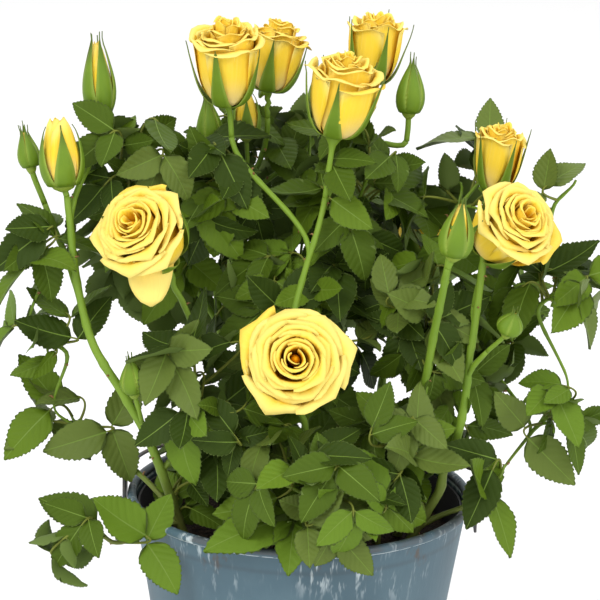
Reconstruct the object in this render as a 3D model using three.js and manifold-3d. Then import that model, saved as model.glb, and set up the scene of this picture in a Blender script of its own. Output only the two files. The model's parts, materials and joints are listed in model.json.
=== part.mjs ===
// A miniature rose bush growing in a round, tapered metal bucket pot with a wire bail.
// Millimetres, +Z up. The origin is the centre of the pot's flat underside; -Y is the front.
import * as THREE from 'three';
import { mergeVertices } from 'three/addons/utils/BufferGeometryUtils.js';
import Module from 'manifold-3d';

const wasm = await Module();
wasm.setup();

// ---- driving dimensions ----

const GAP = 0.5; // clearance left between neighbouring solids
const MASS_GAP = 1.8; // and around masses of foliage, which are more coarsely faceted
const MASS_SMOOTHING = 1.15; // slivers up to this size are smoothed from a cut mass
const LIMB_SMOOTHING = 0.12; // and from a cut limb

// Pot: a tapered shell under a rolled bead, with a plastic liner and soil inside
const RIM_Z = 130;
const RIM_RADIUS = 75;
const BASE_RADIUS = 52;
const POT_WALL = 1;
const BEAD_RADIUS = 2;
const POT_SIDES = 28;
const LINER_WALL = 1.2;
const LINER_TOP = RIM_Z - 5;
const SOIL_TOP = RIM_Z - 17;
const SOIL_HEAP = 4; // how far the middle of the soil rises above its edge

// Bail: wire through two ear plates, lying back on the rim
const EAR_WIDTH = 17;
const EAR_THICKNESS = 1.2;
const EAR_HOLE_RADIUS = 2;
const PIVOT_Z = RIM_Z + 11;
const EAR_TOP = PIVOT_Z + 7;
const EAR_BOTTOM = RIM_Z - 15;
const WIRE_RADIUS = 0.9;
const BAIL_RADIUS = 72;
const BAIL_STEPS = 34;

// Plant
const CANE_SIDES = 5;
const CANE_STEPS = 6;
const CANE_FOOT_Z = SOIL_TOP - 3; // hidden ends of the canes, cut off by the soil
const STALK_RADIUS = 1.5;
const LEAST_LIMB = 20; // cubic mm: a limb with less than this outside the masses is left out
const CUP_LENGTH = 7; // green cup under a flower, at the top of its stalk
const CUP_RADIUS = 4.2;

// ---- geometry helpers ----

const vec = (x, y, z) => new THREE.Vector3(x, y, z);
const AXIS_Z = vec(0, 0, 1);

function manifoldOf(points, triangles) {
  return new wasm.Manifold(new wasm.Mesh({
    numProp: 3,
    vertProperties: new Float32Array(points.flatMap((p) => [p.x, p.y, p.z])),
    triVerts: new Uint32Array(triangles),
  }));
}

// A closed skin over rings of equal count, from a start point to an end point.
// Each ring runs anticlockwise as seen from the end.
function skin(start, rings, end) {
  const count = rings[0].length;
  const last = rings.length * count;
  const triangles = [];
  for (let j = 0; j < count; j += 1) {
    const k = (j + 1) % count;
    triangles.push(last, k, j);
    for (let i = 0; i + 1 < rings.length; i += 1) {
      const low = i * count;
      const high = low + count;
      triangles.push(low + j, low + k, high + j);
      triangles.push(low + k, high + k, high + j);
    }
    triangles.push(last - count + j, last - count + k, last + 1);
  }
  return manifoldOf([...rings.flat(), start, end], triangles);
}

// A turned solid: the profile lists [radius, height] and starts and ends on the axis.
function turned(profile, sides, warp = (p) => p) {
  const rings = profile.slice(1, -1).map(([radius, height]) => (
    Array.from({ length: sides }, (_, j) => {
      const angle = (2 * Math.PI * j) / sides;
      return warp(vec(radius * Math.cos(angle), radius * Math.sin(angle), height), angle);
    })
  ));
  const ends = [profile.at(0), profile.at(-1)].map(([, height]) => warp(vec(0, 0, height), 0));
  return skin(ends[0], rings, ends[1]);
}

// A round limb along a smooth curve through the points; radiusAt takes 0 at its foot, 1 at its tip.
function limb(points, radiusAt, sides = CANE_SIDES, steps = CANE_STEPS) {
  const curve = new THREE.CatmullRomCurve3(points);
  const frames = curve.computeFrenetFrames(steps, false);
  const rings = Array.from({ length: steps + 1 }, (_, i) => {
    const centre = curve.getPointAt(i / steps);
    return Array.from({ length: sides }, (__, j) => {
      const angle = (2 * Math.PI * j) / sides;
      const out = frames.normals[i].clone().multiplyScalar(Math.cos(angle));
      out.addScaledVector(frames.binormals[i], Math.sin(angle));
      return centre.clone().addScaledVector(out, radiusAt(i / steps));
    });
  });
  return skin(points[0], rings, points.at(-1));
}

// Sets a solid modelled along +Z at a place, facing a direction.
function placed(solid, at, facing) {
  const turn = new THREE.Quaternion().setFromUnitVectors(AXIS_Z, facing.clone().normalize());
  const matrix = new THREE.Matrix4().compose(at, turn, vec(1, 1, 1));
  return solid.transform(matrix.elements);
}

// Repeatable numbers in 0..1 for one seed.
function random(seed) {
  let state = seed * 7919 + 13;
  return () => {
    state = (state * 16807) % 2147483647;
    return state / 2147483647;
  };
}

// An uneven lump of foliage: an ellipsoid with a few seeded swellings and hollows.
function lump({ at, size, seed, lean = 0 }, grow = 0) {
  const next = random(seed);
  const lobes = Array.from({ length: 9 }, (_, i) => ({
    toward: vec(next() - 0.5, next() - 0.5, next() - 0.5).normalize(),
    height: i % 3 === 2 ? -0.28 : 0.32,
  }));
  const ball = new THREE.IcosahedronGeometry(1, 2);
  ball.deleteAttribute('normal');
  ball.deleteAttribute('uv');
  const round = mergeVertices(ball, 1e-4);
  const place = round.getAttribute('position');
  const points = Array.from({ length: place.count }, (_, i) => {
    const out = vec().fromBufferAttribute(place, i).normalize();
    const swell = lobes.reduce(
      (sum, lobe) => sum + lobe.height * Math.max(0, out.dot(lobe.toward)) ** 5,
      0.9,
    );
    const [a, b, c] = size.map((s) => s * swell + grow);
    return vec(out.x * a, out.y * b, out.z * c)
      .applyAxisAngle(vec(0, 1, 0), THREE.MathUtils.degToRad(-lean))
      .add(vec(...at));
  });
  return manifoldOf(points, round.index.array);
}

// ---- pot, liner, soil, ears and bail ----

const wallRadius = (z) => BASE_RADIUS + ((RIM_RADIUS - BEAD_RADIUS - BASE_RADIUS) * z) / RIM_Z;

function potSolid() {
  const beadCentre = [RIM_RADIUS - BEAD_RADIUS, RIM_Z - BEAD_RADIUS];
  const bead = [-60, -20, 20, 60, 100, 140, 180, 220].map((degrees) => {
    const angle = THREE.MathUtils.degToRad(degrees);
    return [
      beadCentre[0] + BEAD_RADIUS * Math.cos(angle),
      beadCentre[1] + BEAD_RADIUS * Math.sin(angle),
    ];
  });
  const neck = RIM_Z - 2 * BEAD_RADIUS;
  return turned([
    [0, 0],
    [BASE_RADIUS - 1, 0],
    [BASE_RADIUS, 1],
    [wallRadius(neck), neck],
    ...bead,
    [wallRadius(neck) - POT_WALL, neck - 2],
    [BASE_RADIUS - POT_WALL, 1 + POT_WALL],
    [0, 1 + POT_WALL],
  ], POT_SIDES);
}

function linerSolid() {
  const outer = (z) => wallRadius(z) - POT_WALL - 0.6;
  const low = 1 + POT_WALL + GAP;
  return turned([
    [0, low],
    [outer(low) - 1, low],
    [outer(LINER_TOP), LINER_TOP],
    [outer(LINER_TOP) - LINER_WALL, LINER_TOP],
    [outer(low) - 1 - LINER_WALL, low + LINER_WALL],
    [0, low + LINER_WALL],
  ], POT_SIDES);
}

function soilSolid() {
  const inner = (z) => wallRadius(z) - POT_WALL - 0.6 - LINER_WALL - 0.6;
  const low = 1 + POT_WALL + GAP + LINER_WALL + GAP;
  const edge = inner(SOIL_TOP);
  const crumbs = (p) => {
    if (p.z < SOIL_TOP - 1) return p;
    const rough = Math.sin(p.x / 7) * Math.cos(p.y / 9) + 0.5 * Math.sin((p.x + p.y) / 5);
    return vec(p.x, p.y, p.z + 0.8 * rough);
  };
  return turned([
    [0, low],
    [inner(low) - 1.4, low],
    [edge - 0.8, SOIL_TOP],
    [edge * 0.75, SOIL_TOP + SOIL_HEAP * 0.4],
    [edge * 0.4, SOIL_TOP + SOIL_HEAP * 0.8],
    [0, SOIL_TOP + SOIL_HEAP],
  ], POT_SIDES, crumbs);
}

// side is -1 on the left and 1 on the right
function earSolid(side) {
  const half = EAR_WIDTH / 2;
  const outline = new THREE.Shape();
  outline.moveTo(-half, EAR_BOTTOM);
  outline.lineTo(half, EAR_BOTTOM);
  outline.lineTo(half, PIVOT_Z - 3);
  outline.absarc(0, EAR_TOP - half, half, 0.1, Math.PI - 0.1, false);
  outline.lineTo(-half, PIVOT_Z - 3);
  const hole = new THREE.Path();
  hole.absarc(0, PIVOT_Z, EAR_HOLE_RADIUS, 0, 2 * Math.PI, true);
  outline.holes.push(hole);
  const plate = new THREE.ExtrudeGeometry(outline, {
    depth: EAR_THICKNESS,
    bevelEnabled: false,
    curveSegments: 5,
  });
  const turn = new THREE.Matrix4().makeBasis(vec(0, 1, 0), vec(0, 0, 1), vec(1, 0, 0));
  plate.applyMatrix4(turn);
  const inside = RIM_RADIUS + GAP;
  plate.translate(side > 0 ? inside : -inside - EAR_THICKNESS, 0, 0);
  plate.deleteAttribute('normal');
  plate.deleteAttribute('uv');
  const merged = mergeVertices(plate, 1e-4);
  const place = merged.getAttribute('position');
  const points = Array.from({ length: place.count }, (_, i) => vec().fromBufferAttribute(place, i));
  return manifoldOf(points, merged.index.array);
}

function bailSolid() {
  const outside = RIM_RADIUS + GAP + EAR_THICKNESS + 1.6 + WIRE_RADIUS;
  const restZ = RIM_Z + WIRE_RADIUS + GAP;
  const arc = Array.from({ length: 13 }, (_, i) => {
    const angle = THREE.MathUtils.degToRad(12 + 13 * i);
    const y = BAIL_RADIUS * Math.sin(angle);
    return vec(-BAIL_RADIUS * Math.cos(angle), y, PIVOT_Z + ((restZ - PIVOT_Z) * y) / BAIL_RADIUS);
  });
  const end = (side) => [
    vec(side * (outside + 0.6), -4.5, PIVOT_Z - 2.5),
    vec(side * outside, -1, PIVOT_Z),
    vec(side * (RIM_RADIUS + GAP + EAR_THICKNESS / 2), 0, PIVOT_Z),
    vec(side * (RIM_RADIUS - 2.5), 2.5, PIVOT_Z),
  ];
  const path = [...end(-1), ...arc, ...end(1).reverse()];
  return limb(path, () => WIRE_RADIUS, 5, BAIL_STEPS);
}

// ---- plant: canes, stalks, flowers and buds ----

// A cane rises from the soil, bows through the points between and tapers to its tip. It ends
// where it enters the masses named in "into".
const CANES = {
  left: {
    foot: [-47, -24], through: [[-67, -47, 176], [-89, -38, 208]], tip: [-99, -23, 264],
    radii: [3, 1.9], into: [],
  },
  middle: {
    foot: [1, 2], through: [[2, -4, 190]], tip: [7, -9, 262], radii: [3.2, 2.2],
    into: ['centre', 'back_low', 'top_right'],
  },
  front: {
    foot: [6, -26], through: [[5, -46, 150]], tip: [3, -55, 190], radii: [2.6, 2.2],
    into: ['front_low'],
  },
  right: {
    foot: [44, -24], through: [[64, -31, 158]], tip: [72, -30, 226], radii: [3, 2.2],
    into: ['right_inner', 'right_middle', 'right_front'],
  },
  right_inner: {
    foot: [42, -8], through: [[50, -30, 182]], tip: [57, -55, 244], radii: [2.8, 2],
    into: ['right_inner', 'right_front'],
  },
  back_left: {
    foot: [-24, 24], through: [[-34, 40, 170]], tip: [-44, 48, 230], radii: [3, 2.2],
    into: ['back_left', 'back_low'],
  },
  back_right: {
    foot: [26, 26], through: [[36, 40, 170]], tip: [44, 46, 230], radii: [3, 2.2],
    into: ['back_right', 'back_low'],
  },
};

// A flower's "at" is its middle, "foot" the place its stalk grows from.
const FLOWERS = {
  front: {
    at: [-4, -62, 207], width: 49, height: 30, facing: [0.04, -0.93, 0.36],
    foot: [2, -44, 168], into: ['front_low'],
  },
  left: {
    at: [-66, -42, 253], width: 43, height: 32, facing: [-0.4, -0.7, 0.6],
    foot: [-43, -33, 204], into: ['left_front'],
  },
  right: {
    at: [83, -32, 256], width: 38, height: 32, facing: [0.45, -0.62, 0.62],
    foot: [71, -29, 222], into: ['right_middle', 'right_inner'],
  },
  right_small: {
    at: [80, 10, 277], width: 24, height: 28, facing: [0.1, -0.12, 1],
    foot: [76, 12, 244], into: ['right_upper'],
  },
  top_centre: {
    at: [13, -8, 306], width: 36, height: 34, facing: [0.14, -0.12, 1],
    foot: [5, -12, 240], into: ['centre'],
  },
  top_left: {
    at: [-34, 2, 317], width: 34, height: 36, facing: [-0.02, -0.2, 1],
    foot: [-31, 6, 270], into: ['top_left'],
  },
  top_back: {
    at: [-16, 39, 313], width: 31, height: 30, facing: [0.16, 0.14, 1],
    foot: [-16, 34, 270], into: ['top_left', 'back_upper'],
  },
  top_right: {
    at: [28, 28, 319], width: 27, height: 29, facing: [0.08, 0, 1],
    foot: [26, 24, 272], into: ['top_right', 'back_upper'],
  },
  back_left: {
    at: [-58, 77, 231], width: 42, height: 31, facing: [-0.35, 0.7, 0.62],
    foot: [-46, 50, 196], into: ['back_left'],
  },
  back_right: {
    at: [56, 80, 219], width: 44, height: 31, facing: [0.3, 0.82, 0.5],
    foot: [45, 48, 188], into: ['back_right'],
  },
};

const BUDS = {
  left_tall: {
    at: [-89, 10, 310], width: 14, height: 36, foot: [-84, 8, 256], into: ['left_upper'],
  },
  left_open: { at: [-102, -20, 283], width: 19, height: 29, foot: [-99.5, -22.6, 264.6], into: [] },
  left_small: {
    at: [-118, -2, 281], width: 9, height: 19, foot: [-106, -8, 246], into: ['left_upper_outer'],
  },
  right_green: {
    at: [43, 20, 307], width: 12, height: 26, foot: [40, 19, 262],
    into: ['top_right', 'right_upper'],
  },
  right_front: {
    at: [61, -58, 265], width: 14, height: 26, foot: [57.4, -56, 246], into: [],
  },
  back: { at: [6, 80, 292], width: 13, height: 28, foot: [4, 62, 248], into: ['back_upper'] },
};

// The turned profiles run along a flower or bud from its base to its top.
const swollen = (profile, grow) => profile.map(([radius, z]) => (
  [radius > 0 ? radius + grow : 0, z + (z > 0 ? grow : -grow)]
));

function flowerSolid({ at, width, height, facing }, grow = 0) {
  const radius = width / 2;
  const low = -height / 2;
  const profile = [
    [0, low],
    [radius * 0.3, low + height * 0.04],
    [radius * 0.72, low + height * 0.3],
    [radius * 0.92, low + height * 0.62],
    [radius, low + height * 0.82],
    [radius * 0.72, low + height * 0.93],
    [radius * 0.34, low + height],
    [0, low + height * 0.94],
  ];
  const petals = (p, angle) => {
    const open = THREE.MathUtils.smoothstep(p.z, low + height * 0.3, low + height * 0.8);
    const wave = 1 + 0.06 * open * Math.cos(4 * angle + width);
    return vec(p.x * wave, p.y * wave, p.z + 0.03 * height * open * Math.sin(4 * angle));
  };
  return placed(turned(swollen(profile, grow), 9, petals), vec(...at), vec(...facing));
}

const budFacing = ({ at, foot }) => vec(...at).sub(vec(...foot)).multiply(vec(1, 1, 1.6));

function budHead(bud, grow = 0) {
  const radius = bud.width / 2;
  const low = -bud.height / 2;
  const profile = [
    [0, low],
    [radius * 0.55, low + bud.height * 0.05],
    [radius, low + bud.height * 0.3],
    [radius * 0.82, low + bud.height * 0.55],
    [radius * 0.34, low + bud.height * 0.8],
    [0, low + bud.height],
  ];
  return placed(turned(swollen(profile, grow), 7), vec(...bud.at), budFacing(bud));
}

function budSolid(bud, grow = 0) {
  const neck = vec(...bud.at).addScaledVector(budFacing(bud).normalize(), -bud.height * 0.4);
  const path = [vec(...bud.foot), vec(...bud.foot).lerp(neck, 0.5), neck];
  return budHead(bud, grow).add(limb(path, () => 1.3 + grow, 5, 3));
}

function caneSolid({ foot, through, tip, radii }, grow = 0) {
  const path = [vec(...foot, CANE_FOOT_Z), ...through.map((p) => vec(...p)), vec(...tip)];
  const steps = CANE_STEPS + 2 * through.length - 2;
  return limb(path, (t) => THREE.MathUtils.lerp(radii[0], radii[1], t) + grow, CANE_SIDES, steps);
}

function stalkSolid({ at, height, facing, foot }, grow = 0) {
  const forward = vec(...facing).normalize();
  const neck = vec(...at).addScaledVector(forward, -height * 0.46);
  const middle = vec(...foot).lerp(neck, 0.55).addScaledVector(forward, -2);
  const cupStart = 1 - CUP_LENGTH / vec(...foot).distanceTo(neck);
  const radiusAt = (t) => {
    const cup = THREE.MathUtils.smoothstep(t, cupStart, 1);
    return THREE.MathUtils.lerp(STALK_RADIUS, CUP_RADIUS, cup) + grow;
  };
  return limb([vec(...foot), middle, neck], radiusAt, CANE_SIDES, 6);
}

// ---- plant: masses of foliage ----

const MASSES = {
  left_upper_outer: { at: [-109, -16, 241], size: [18, 15, 22], lean: 20 },
  left_upper: { at: [-72, 8, 264], size: [27, 22, 31] },
  top_left: { at: [-28, 16, 258], size: [30, 30, 34] },
  top_right: { at: [26, 16, 255], size: [28, 30, 36] },
  right_upper: { at: [66, 20, 257], size: [31, 25, 30], lean: -12 },
  right_upper_outer: { at: [110, 16, 262], size: [17, 13, 13], lean: 32 },
  right_middle: { at: [101, -14, 222], size: [27, 22, 18] },
  right_inner: { at: [56, -18, 212], size: [24, 22, 28] },
  right_low: { at: [102, -10, 171], size: [28, 22, 20], lean: -20 },
  right_hanging: { at: [81, -28, 150], size: [12, 12, 18] },
  centre: { at: [2, -8, 205], size: [36, 30, 40] },
  left_front: { at: [-44, -42, 184], size: [24, 24, 33] },
  left_middle: { at: [-104, -16, 203], size: [26, 18, 15] },
  left_low: { at: [-102, -12, 157], size: [29, 18, 14], lean: 14 },
  left_sprig: { at: [-82, -52, 127], size: [26, 13, 11], lean: 24 },
  front_low: { at: [0, -64, 151], size: [38, 24, 25] },
  right_front: { at: [40, -46, 165], size: [22, 20, 30] },
  back_left: { at: [-54, 54, 216], size: [40, 34, 42] },
  back_right: { at: [52, 54, 214], size: [40, 34, 42] },
  back_upper: { at: [0, 56, 258], size: [36, 26, 34] },
  back_low: { at: [0, 52, 190], size: [34, 30, 26] },
};

// ---- assembly ----

const PAINT = { color: 0x5d7f92, roughness: 0.6, metalness: 0.25 };
const STEEL = { color: 0x55565a, roughness: 0.5, metalness: 0.8 };
const PLASTIC = { color: 0x151515, roughness: 0.6, metalness: 0 };
const SOIL = { color: 0x2e2119, roughness: 1, metalness: 0 };
const LEAF = { color: 0x2f5a26, roughness: 0.7, metalness: 0 };
const STEM = { color: 0x6d9440, roughness: 0.6, metalness: 0 };
const SEPAL = { color: 0x6f9c3a, roughness: 0.6, metalness: 0 };
const PETAL = { color: 0xf4cf4a, roughness: 0.7, metalness: 0 };

const rose = new THREE.Group();

function addMesh(name, solid, look) {
  const data = solid.getMesh();
  const geometry = new THREE.BufferGeometry();
  geometry.setAttribute('position', new THREE.BufferAttribute(data.vertProperties, 3));
  geometry.setIndex(new THREE.BufferAttribute(data.triVerts, 1));
  geometry.computeVertexNormals();
  const mesh = new THREE.Mesh(geometry, new THREE.MeshStandardMaterial(look));
  mesh.name = name;
  rose.add(mesh);
}

const union = (solids) => wasm.Manifold.union(solids);

// The biggest piece left when others are cut out of a solid, with slivers smoothed away.
function without(solid, others, smoothing = LIMB_SMOOTHING) {
  const rest = solid.subtract(union(others)).simplify(smoothing);
  return rest.decompose().sort((a, b) => b.volume() - a.volume())[0];
}

addMesh('pot', potSolid(), PAINT);
addMesh('pot_liner', linerSolid(), PLASTIC);
addMesh('soil', soilSolid(), SOIL);
addMesh('ear_left', earSolid(-1), STEEL);
addMesh('ear_right', earSolid(1), STEEL);
addMesh('bail', bailSolid(), STEEL);

// Flower heads and buds keep their shape; masses give way to them.
const heads = union([
  ...Object.values(FLOWERS).map((flower) => flowerSolid(flower, MASS_GAP)),
  ...Object.values(BUDS).map((bud) => budHead(bud, MASS_GAP)),
]);
const massNames = Object.keys(MASSES);
const grown = massNames.map((name, i) => lump({ ...MASSES[name], seed: i + 1 }, MASS_GAP));
const reach = grown.map((mass) => mass.subtract(heads));

// Every limb with the masses it ends in: [name, solid at a given growth, masses, look]
const limbs = [
  ...Object.entries(CANES).map(([name, cane]) => (
    { name: `cane_${name}`, make: (g) => caneSolid(cane, g), into: cane.into, look: STEM }
  )),
  ...Object.entries(FLOWERS).map(([name, flower]) => (
    { name: `stalk_${name}`, make: (g) => stalkSolid(flower, g), into: flower.into, look: STEM }
  )),
  ...Object.entries(BUDS).map(([name, bud]) => (
    { name: `bud_${name}`, make: (g) => budSolid(bud, g), into: bud.into, look: SEPAL }
  )),
];

// The space the pot and its soil take up, with clearance, up to the top of the bead.
const potSpace = turned([
  [0, -1],
  [BASE_RADIUS + 2 * GAP, -1],
  [wallRadius(RIM_Z - 3 * BEAD_RADIUS) + 2 * GAP, RIM_Z - 3 * BEAD_RADIUS],
  [RIM_RADIUS + 2 * GAP, RIM_Z - 2 * BEAD_RADIUS],
  [RIM_RADIUS + 2 * GAP, RIM_Z],
  [RIM_RADIUS - BEAD_RADIUS, RIM_Z + 2 * GAP],
  [0, RIM_Z + 2 * GAP],
], POT_SIDES);
const masses = massNames.map((name, i) => {
  const mass = lump({ ...MASSES[name], seed: i + 1 });
  const passing = limbs.filter(({ into }) => !into.includes(name));
  const around = [potSpace, heads, ...passing.map(({ make }) => make(MASS_GAP))];
  return without(mass, [...around, ...grown.slice(0, i)], MASS_SMOOTHING);
});
masses.forEach((mass, i) => addMesh(`mass_${massNames[i]}`, mass, LEAF));

Object.entries(FLOWERS).forEach(([name, flower]) => {
  addMesh(`flower_${name}`, flowerSolid(flower), PETAL);
});

const fixed = [
  soilSolid().translate([0, 0, GAP]),
  ...Object.values(FLOWERS).map((flower) => flowerSolid(flower, GAP)),
  ...masses,
];
limbs.forEach(({ name, make, into, look }, i) => {
  const earlier = limbs.slice(0, i).map((other) => other.make(GAP));
  const entered = into.map((mass) => reach[massNames.indexOf(mass)]);
  const shown = without(make(0), [...fixed, ...earlier, ...entered]);
  if (shown && shown.volume() > LEAST_LIMB) addMesh(name, shown, look);
});

export default rose;
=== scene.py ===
"""A miniature yellow rose bush in a round, tapered metal bucket pot with a wire bail."""

import json
import math
import random

import bpy
import numpy as np
from mathutils import Matrix, Quaternion, Vector


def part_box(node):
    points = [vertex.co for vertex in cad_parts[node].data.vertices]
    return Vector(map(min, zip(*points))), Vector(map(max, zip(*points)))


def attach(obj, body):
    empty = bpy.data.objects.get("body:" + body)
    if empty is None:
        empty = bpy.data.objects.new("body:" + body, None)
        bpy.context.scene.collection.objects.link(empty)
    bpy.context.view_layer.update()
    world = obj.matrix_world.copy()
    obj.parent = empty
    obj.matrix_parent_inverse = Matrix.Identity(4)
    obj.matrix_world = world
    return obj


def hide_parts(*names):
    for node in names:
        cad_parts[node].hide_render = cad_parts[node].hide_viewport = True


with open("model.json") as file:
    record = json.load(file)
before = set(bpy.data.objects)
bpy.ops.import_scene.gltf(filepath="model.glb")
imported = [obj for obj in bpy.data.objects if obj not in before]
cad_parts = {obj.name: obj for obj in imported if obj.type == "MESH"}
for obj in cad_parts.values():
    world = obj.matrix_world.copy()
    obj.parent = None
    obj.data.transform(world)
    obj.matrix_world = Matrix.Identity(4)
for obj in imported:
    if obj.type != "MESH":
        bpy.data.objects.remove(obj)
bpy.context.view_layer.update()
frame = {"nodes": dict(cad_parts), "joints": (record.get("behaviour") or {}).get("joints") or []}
NODES = frame["nodes"]
MM = 0.001
GOLDEN = math.pi * (3 - math.sqrt(5))  # the turn from one petal or leaf to the next
ANY_TURN = 6.3  # a full turn in radians, as the limit of a random one


# ---- the shader socket wrapper: maths on sockets is written as Python expressions ----

class Sock:
    """A node's output, with the operators a finish needs."""

    def __init__(self, maker, link):
        self.maker = maker
        self.link = link

    def math(self, operation, *others):
        return self.maker.node("ShaderNodeMath", {"operation": operation}, self, *others)

    def __add__(self, other):
        return self.math("ADD", other)

    __radd__ = __add__

    def __mul__(self, other):
        return self.math("MULTIPLY", other)

    __rmul__ = __mul__

    def __sub__(self, other):
        return self.math("SUBTRACT", other)

    def __rsub__(self, other):
        return self.math("MULTIPLY", -1.0).math("ADD", other)

    def __pow__(self, power):
        return self.math("POWER", power)

    def abs(self):
        return self.math("ABSOLUTE")

    def clamp(self):
        return self.maker.node("ShaderNodeClamp", {}, self, 0.0, 1.0)

    def between(self, low, high):
        """0 below low, 1 above high, smooth between."""
        return self.maker.node(
            "ShaderNodeMapRange", {"interpolation_type": "SMOOTHSTEP"}, self, low, high, 0.0, 1.0
        )


class Finish:
    """A material built from one Principled shader and the patterns that feed it."""

    def __init__(self, name, **constants):
        self.material = bpy.data.materials.new(name)
        self.material.use_nodes = True
        self.tree = self.material.node_tree
        self.shader = self.tree.nodes["Principled BSDF"]
        for socket, value in constants.items():
            self.shader.inputs[socket.replace("_", " ")].default_value = value

    def node(self, kind, settings, *values, out=0, **named):
        """Adds a node: its settings first, then its sockets in order or by name."""
        made = self.tree.nodes.new(kind)
        for key, value in settings.items():
            setattr(made, key, value)
        pairs = list(zip(made.inputs, values))
        pairs += [(made.inputs[key.replace("_", " ")], value) for key, value in named.items()]
        for socket, value in pairs:
            self.join(socket, value)
        return Sock(self, made.outputs[out])

    def join(self, socket, value):
        if isinstance(value, Sock):
            self.tree.links.new(socket, value.link)
        else:
            socket.default_value = value

    def feed(self, **links):
        """Joins values to the shader's own sockets."""
        for socket, value in links.items():
            self.join(self.shader.inputs[socket.replace("_", " ")], value)
        return self

    def place(self):
        return self.node("ShaderNodeTexCoord", {}, out="Object")

    def stretched(self, scale, vector=None):
        return self.node("ShaderNodeMapping", {}, Vector=vector or self.place(), Scale=scale)

    def noise(self, scale, detail, vector=None, roughness=0.5):
        return self.node(
            "ShaderNodeTexNoise", {}, Vector=vector or self.place(), Scale=scale, Detail=detail,
            Roughness=roughness,
        )

    def part(self, vector, axis):
        """One of a vector's three numbers."""
        return self.node("ShaderNodeSeparateXYZ", {}, vector, out=axis)

    def height(self):
        """The height above the ground, where the top of the pot is 1."""
        return self.part(self.place(), "Z") * (1 / POT_HEIGHT)

    def blend(self, amount, first, second):
        """first where amount is 0 and second where it is 1."""
        first, second = (
            tint if isinstance(tint, Sock) else (*tint, 1.0) for tint in (first, second)
        )
        made = self.tree.nodes.new("ShaderNodeMix")
        made.data_type = "RGBA"
        # a Mix node's factor and its two colours
        for socket, value in zip([made.inputs[i] for i in (0, 6, 7)], (amount, first, second)):
            self.join(socket, value)
        return Sock(self, made.outputs[2])

    def bump(self, height, distance, strength):
        return self.node(
            "ShaderNodeBump", {}, Strength=strength, Distance=distance, Height=height
        )


# ---- finishes ----

def worn_zinc_paint():
    """Blue-grey paint on zinc, scraped through in short upright marks under the rim.

    The bead is rubbed to the metal in places, and the inside above the liner is darkened with
    painted shade.
    """
    paint = Finish("blue-grey paint worn to the zinc")
    z = paint.height()
    cloud = paint.noise(22, 4)
    drift = paint.noise(9, 2, paint.stretched((1, 1, 0.25)))
    tint = paint.blend(cloud.between(0.35, 0.7), (0.058, 0.115, 0.150), (0.098, 0.168, 0.205))
    tint = paint.blend(drift.between(0.45, 0.75) * 0.5, tint, (0.044, 0.088, 0.115))

    near_rim = z.between(0.72, 0.985)
    scratch = paint.noise(260, 3, paint.stretched((1, 1, 0.16)), 0.7)
    patches = paint.noise(38, 3, paint.stretched((1, 1, 0.6)), 0.6)
    white = (scratch.between(0.53, 0.66) * patches.between(0.38, 0.62) * near_rim).clamp()
    # a broken white line along the foot of the bead: partly scraped paint, partly a painted
    # highlight
    line = z.between(0.964, 0.968) * (1 - z.between(0.972, 0.977))
    white = (white + line * scratch.between(0.35, 0.5)).clamp()
    tint = paint.blend(white * 0.85, tint, (0.62, 0.70, 0.72))

    bare = paint.noise(70, 4, paint.stretched((1, 1, 0.5)), 0.7).between(0.6, 0.7)
    rubbed = paint.noise(34, 3, None, 0.6).between(0.44, 0.58)
    bare = bare * z.between(0.84, 0.95) + z.between(0.977, 0.985) * rubbed * 0.5
    tint = paint.blend(bare.clamp(), tint, (0.115, 0.100, 0.090))

    east, north = (paint.part(paint.place(), axis) for axis in "XY")
    out = (east * east + north * north) ** 0.5
    # painted shade: the inner wall above the liner is coloured near black, as shade falls inside
    # the pot
    inside = 1 - out.between(RIM.x - 4.4 * MM, RIM.x - 3.4 * MM)
    tint = paint.blend(inside * z.between(0.9, 0.92), tint, (0.030, 0.028, 0.027))
    rough = 0.42 + 0.25 * cloud + 0.2 * white
    ridges = paint.bump(scratch * 0.4 + cloud - 0.8 * white, 0.0006, 0.5)
    return paint.feed(Base_Color=tint, Roughness=rough.clamp(), Metallic=bare.clamp() * 0.6,
                      Normal=ridges).material


def dull_steel():
    """Dark steel with browner patches."""
    steel = Finish("dull dark steel", Metallic=0.85)
    cloud = steel.noise(160, 4)
    tint = steel.blend(cloud.between(0.4, 0.7), (0.10, 0.10, 0.105), (0.20, 0.16, 0.13))
    return steel.feed(Base_Color=tint, Roughness=0.4 + 0.25 * cloud,
                      Normal=steel.bump(cloud, 0.0002, 0.4)).material


def black_liner():
    """Matt black plastic, a little dusty."""
    liner = Finish("black plastic liner")
    cloud = liner.noise(60, 3)
    tint = liner.blend(cloud, (0.008, 0.008, 0.009), (0.022, 0.02, 0.019))
    return liner.feed(Base_Color=tint, Roughness=0.45 + 0.3 * cloud,
                      Normal=liner.bump(cloud, 0.0003, 0.3)).material


def compost():
    """Dark crumbs, darker still where it is damp."""
    soil = Finish("dark compost", Specular_IOR_Level=0.2)
    crumbs = soil.noise(420, 6, None, 0.65)
    damp = soil.noise(45, 3)
    tint = soil.blend(crumbs.between(0.35, 0.7), (0.012, 0.007, 0.004), (0.085, 0.05, 0.03))
    tint = soil.blend(damp.between(0.5, 0.8) * 0.5, tint, (0.02, 0.012, 0.008))
    return soil.feed(Base_Color=tint, Roughness=0.85 + 0.1 * crumbs,
                     Normal=soil.bump(crumbs, 0.0025, 1.0)).material


def green_bark():
    """Young cane: yellow-green, browner near the soil, with fine lengthwise ribs."""
    bark = Finish("green cane bark", Specular_IOR_Level=0.35)
    z = bark.height()
    streak = bark.noise(500, 3, bark.stretched((1, 1, 0.12)))
    patch = bark.noise(60, 3)
    tint = bark.blend(patch, (0.12, 0.23, 0.014), (0.23, 0.36, 0.030))
    tint = bark.blend((1 - z.between(0.9, 1.35)) * (0.35 + 0.4 * patch), tint, (0.16, 0.12, 0.05))
    return bark.feed(Base_Color=tint, Roughness=0.45 + 0.2 * streak,
                     Normal=bark.bump(streak, 0.0004, 0.5)).material


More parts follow.
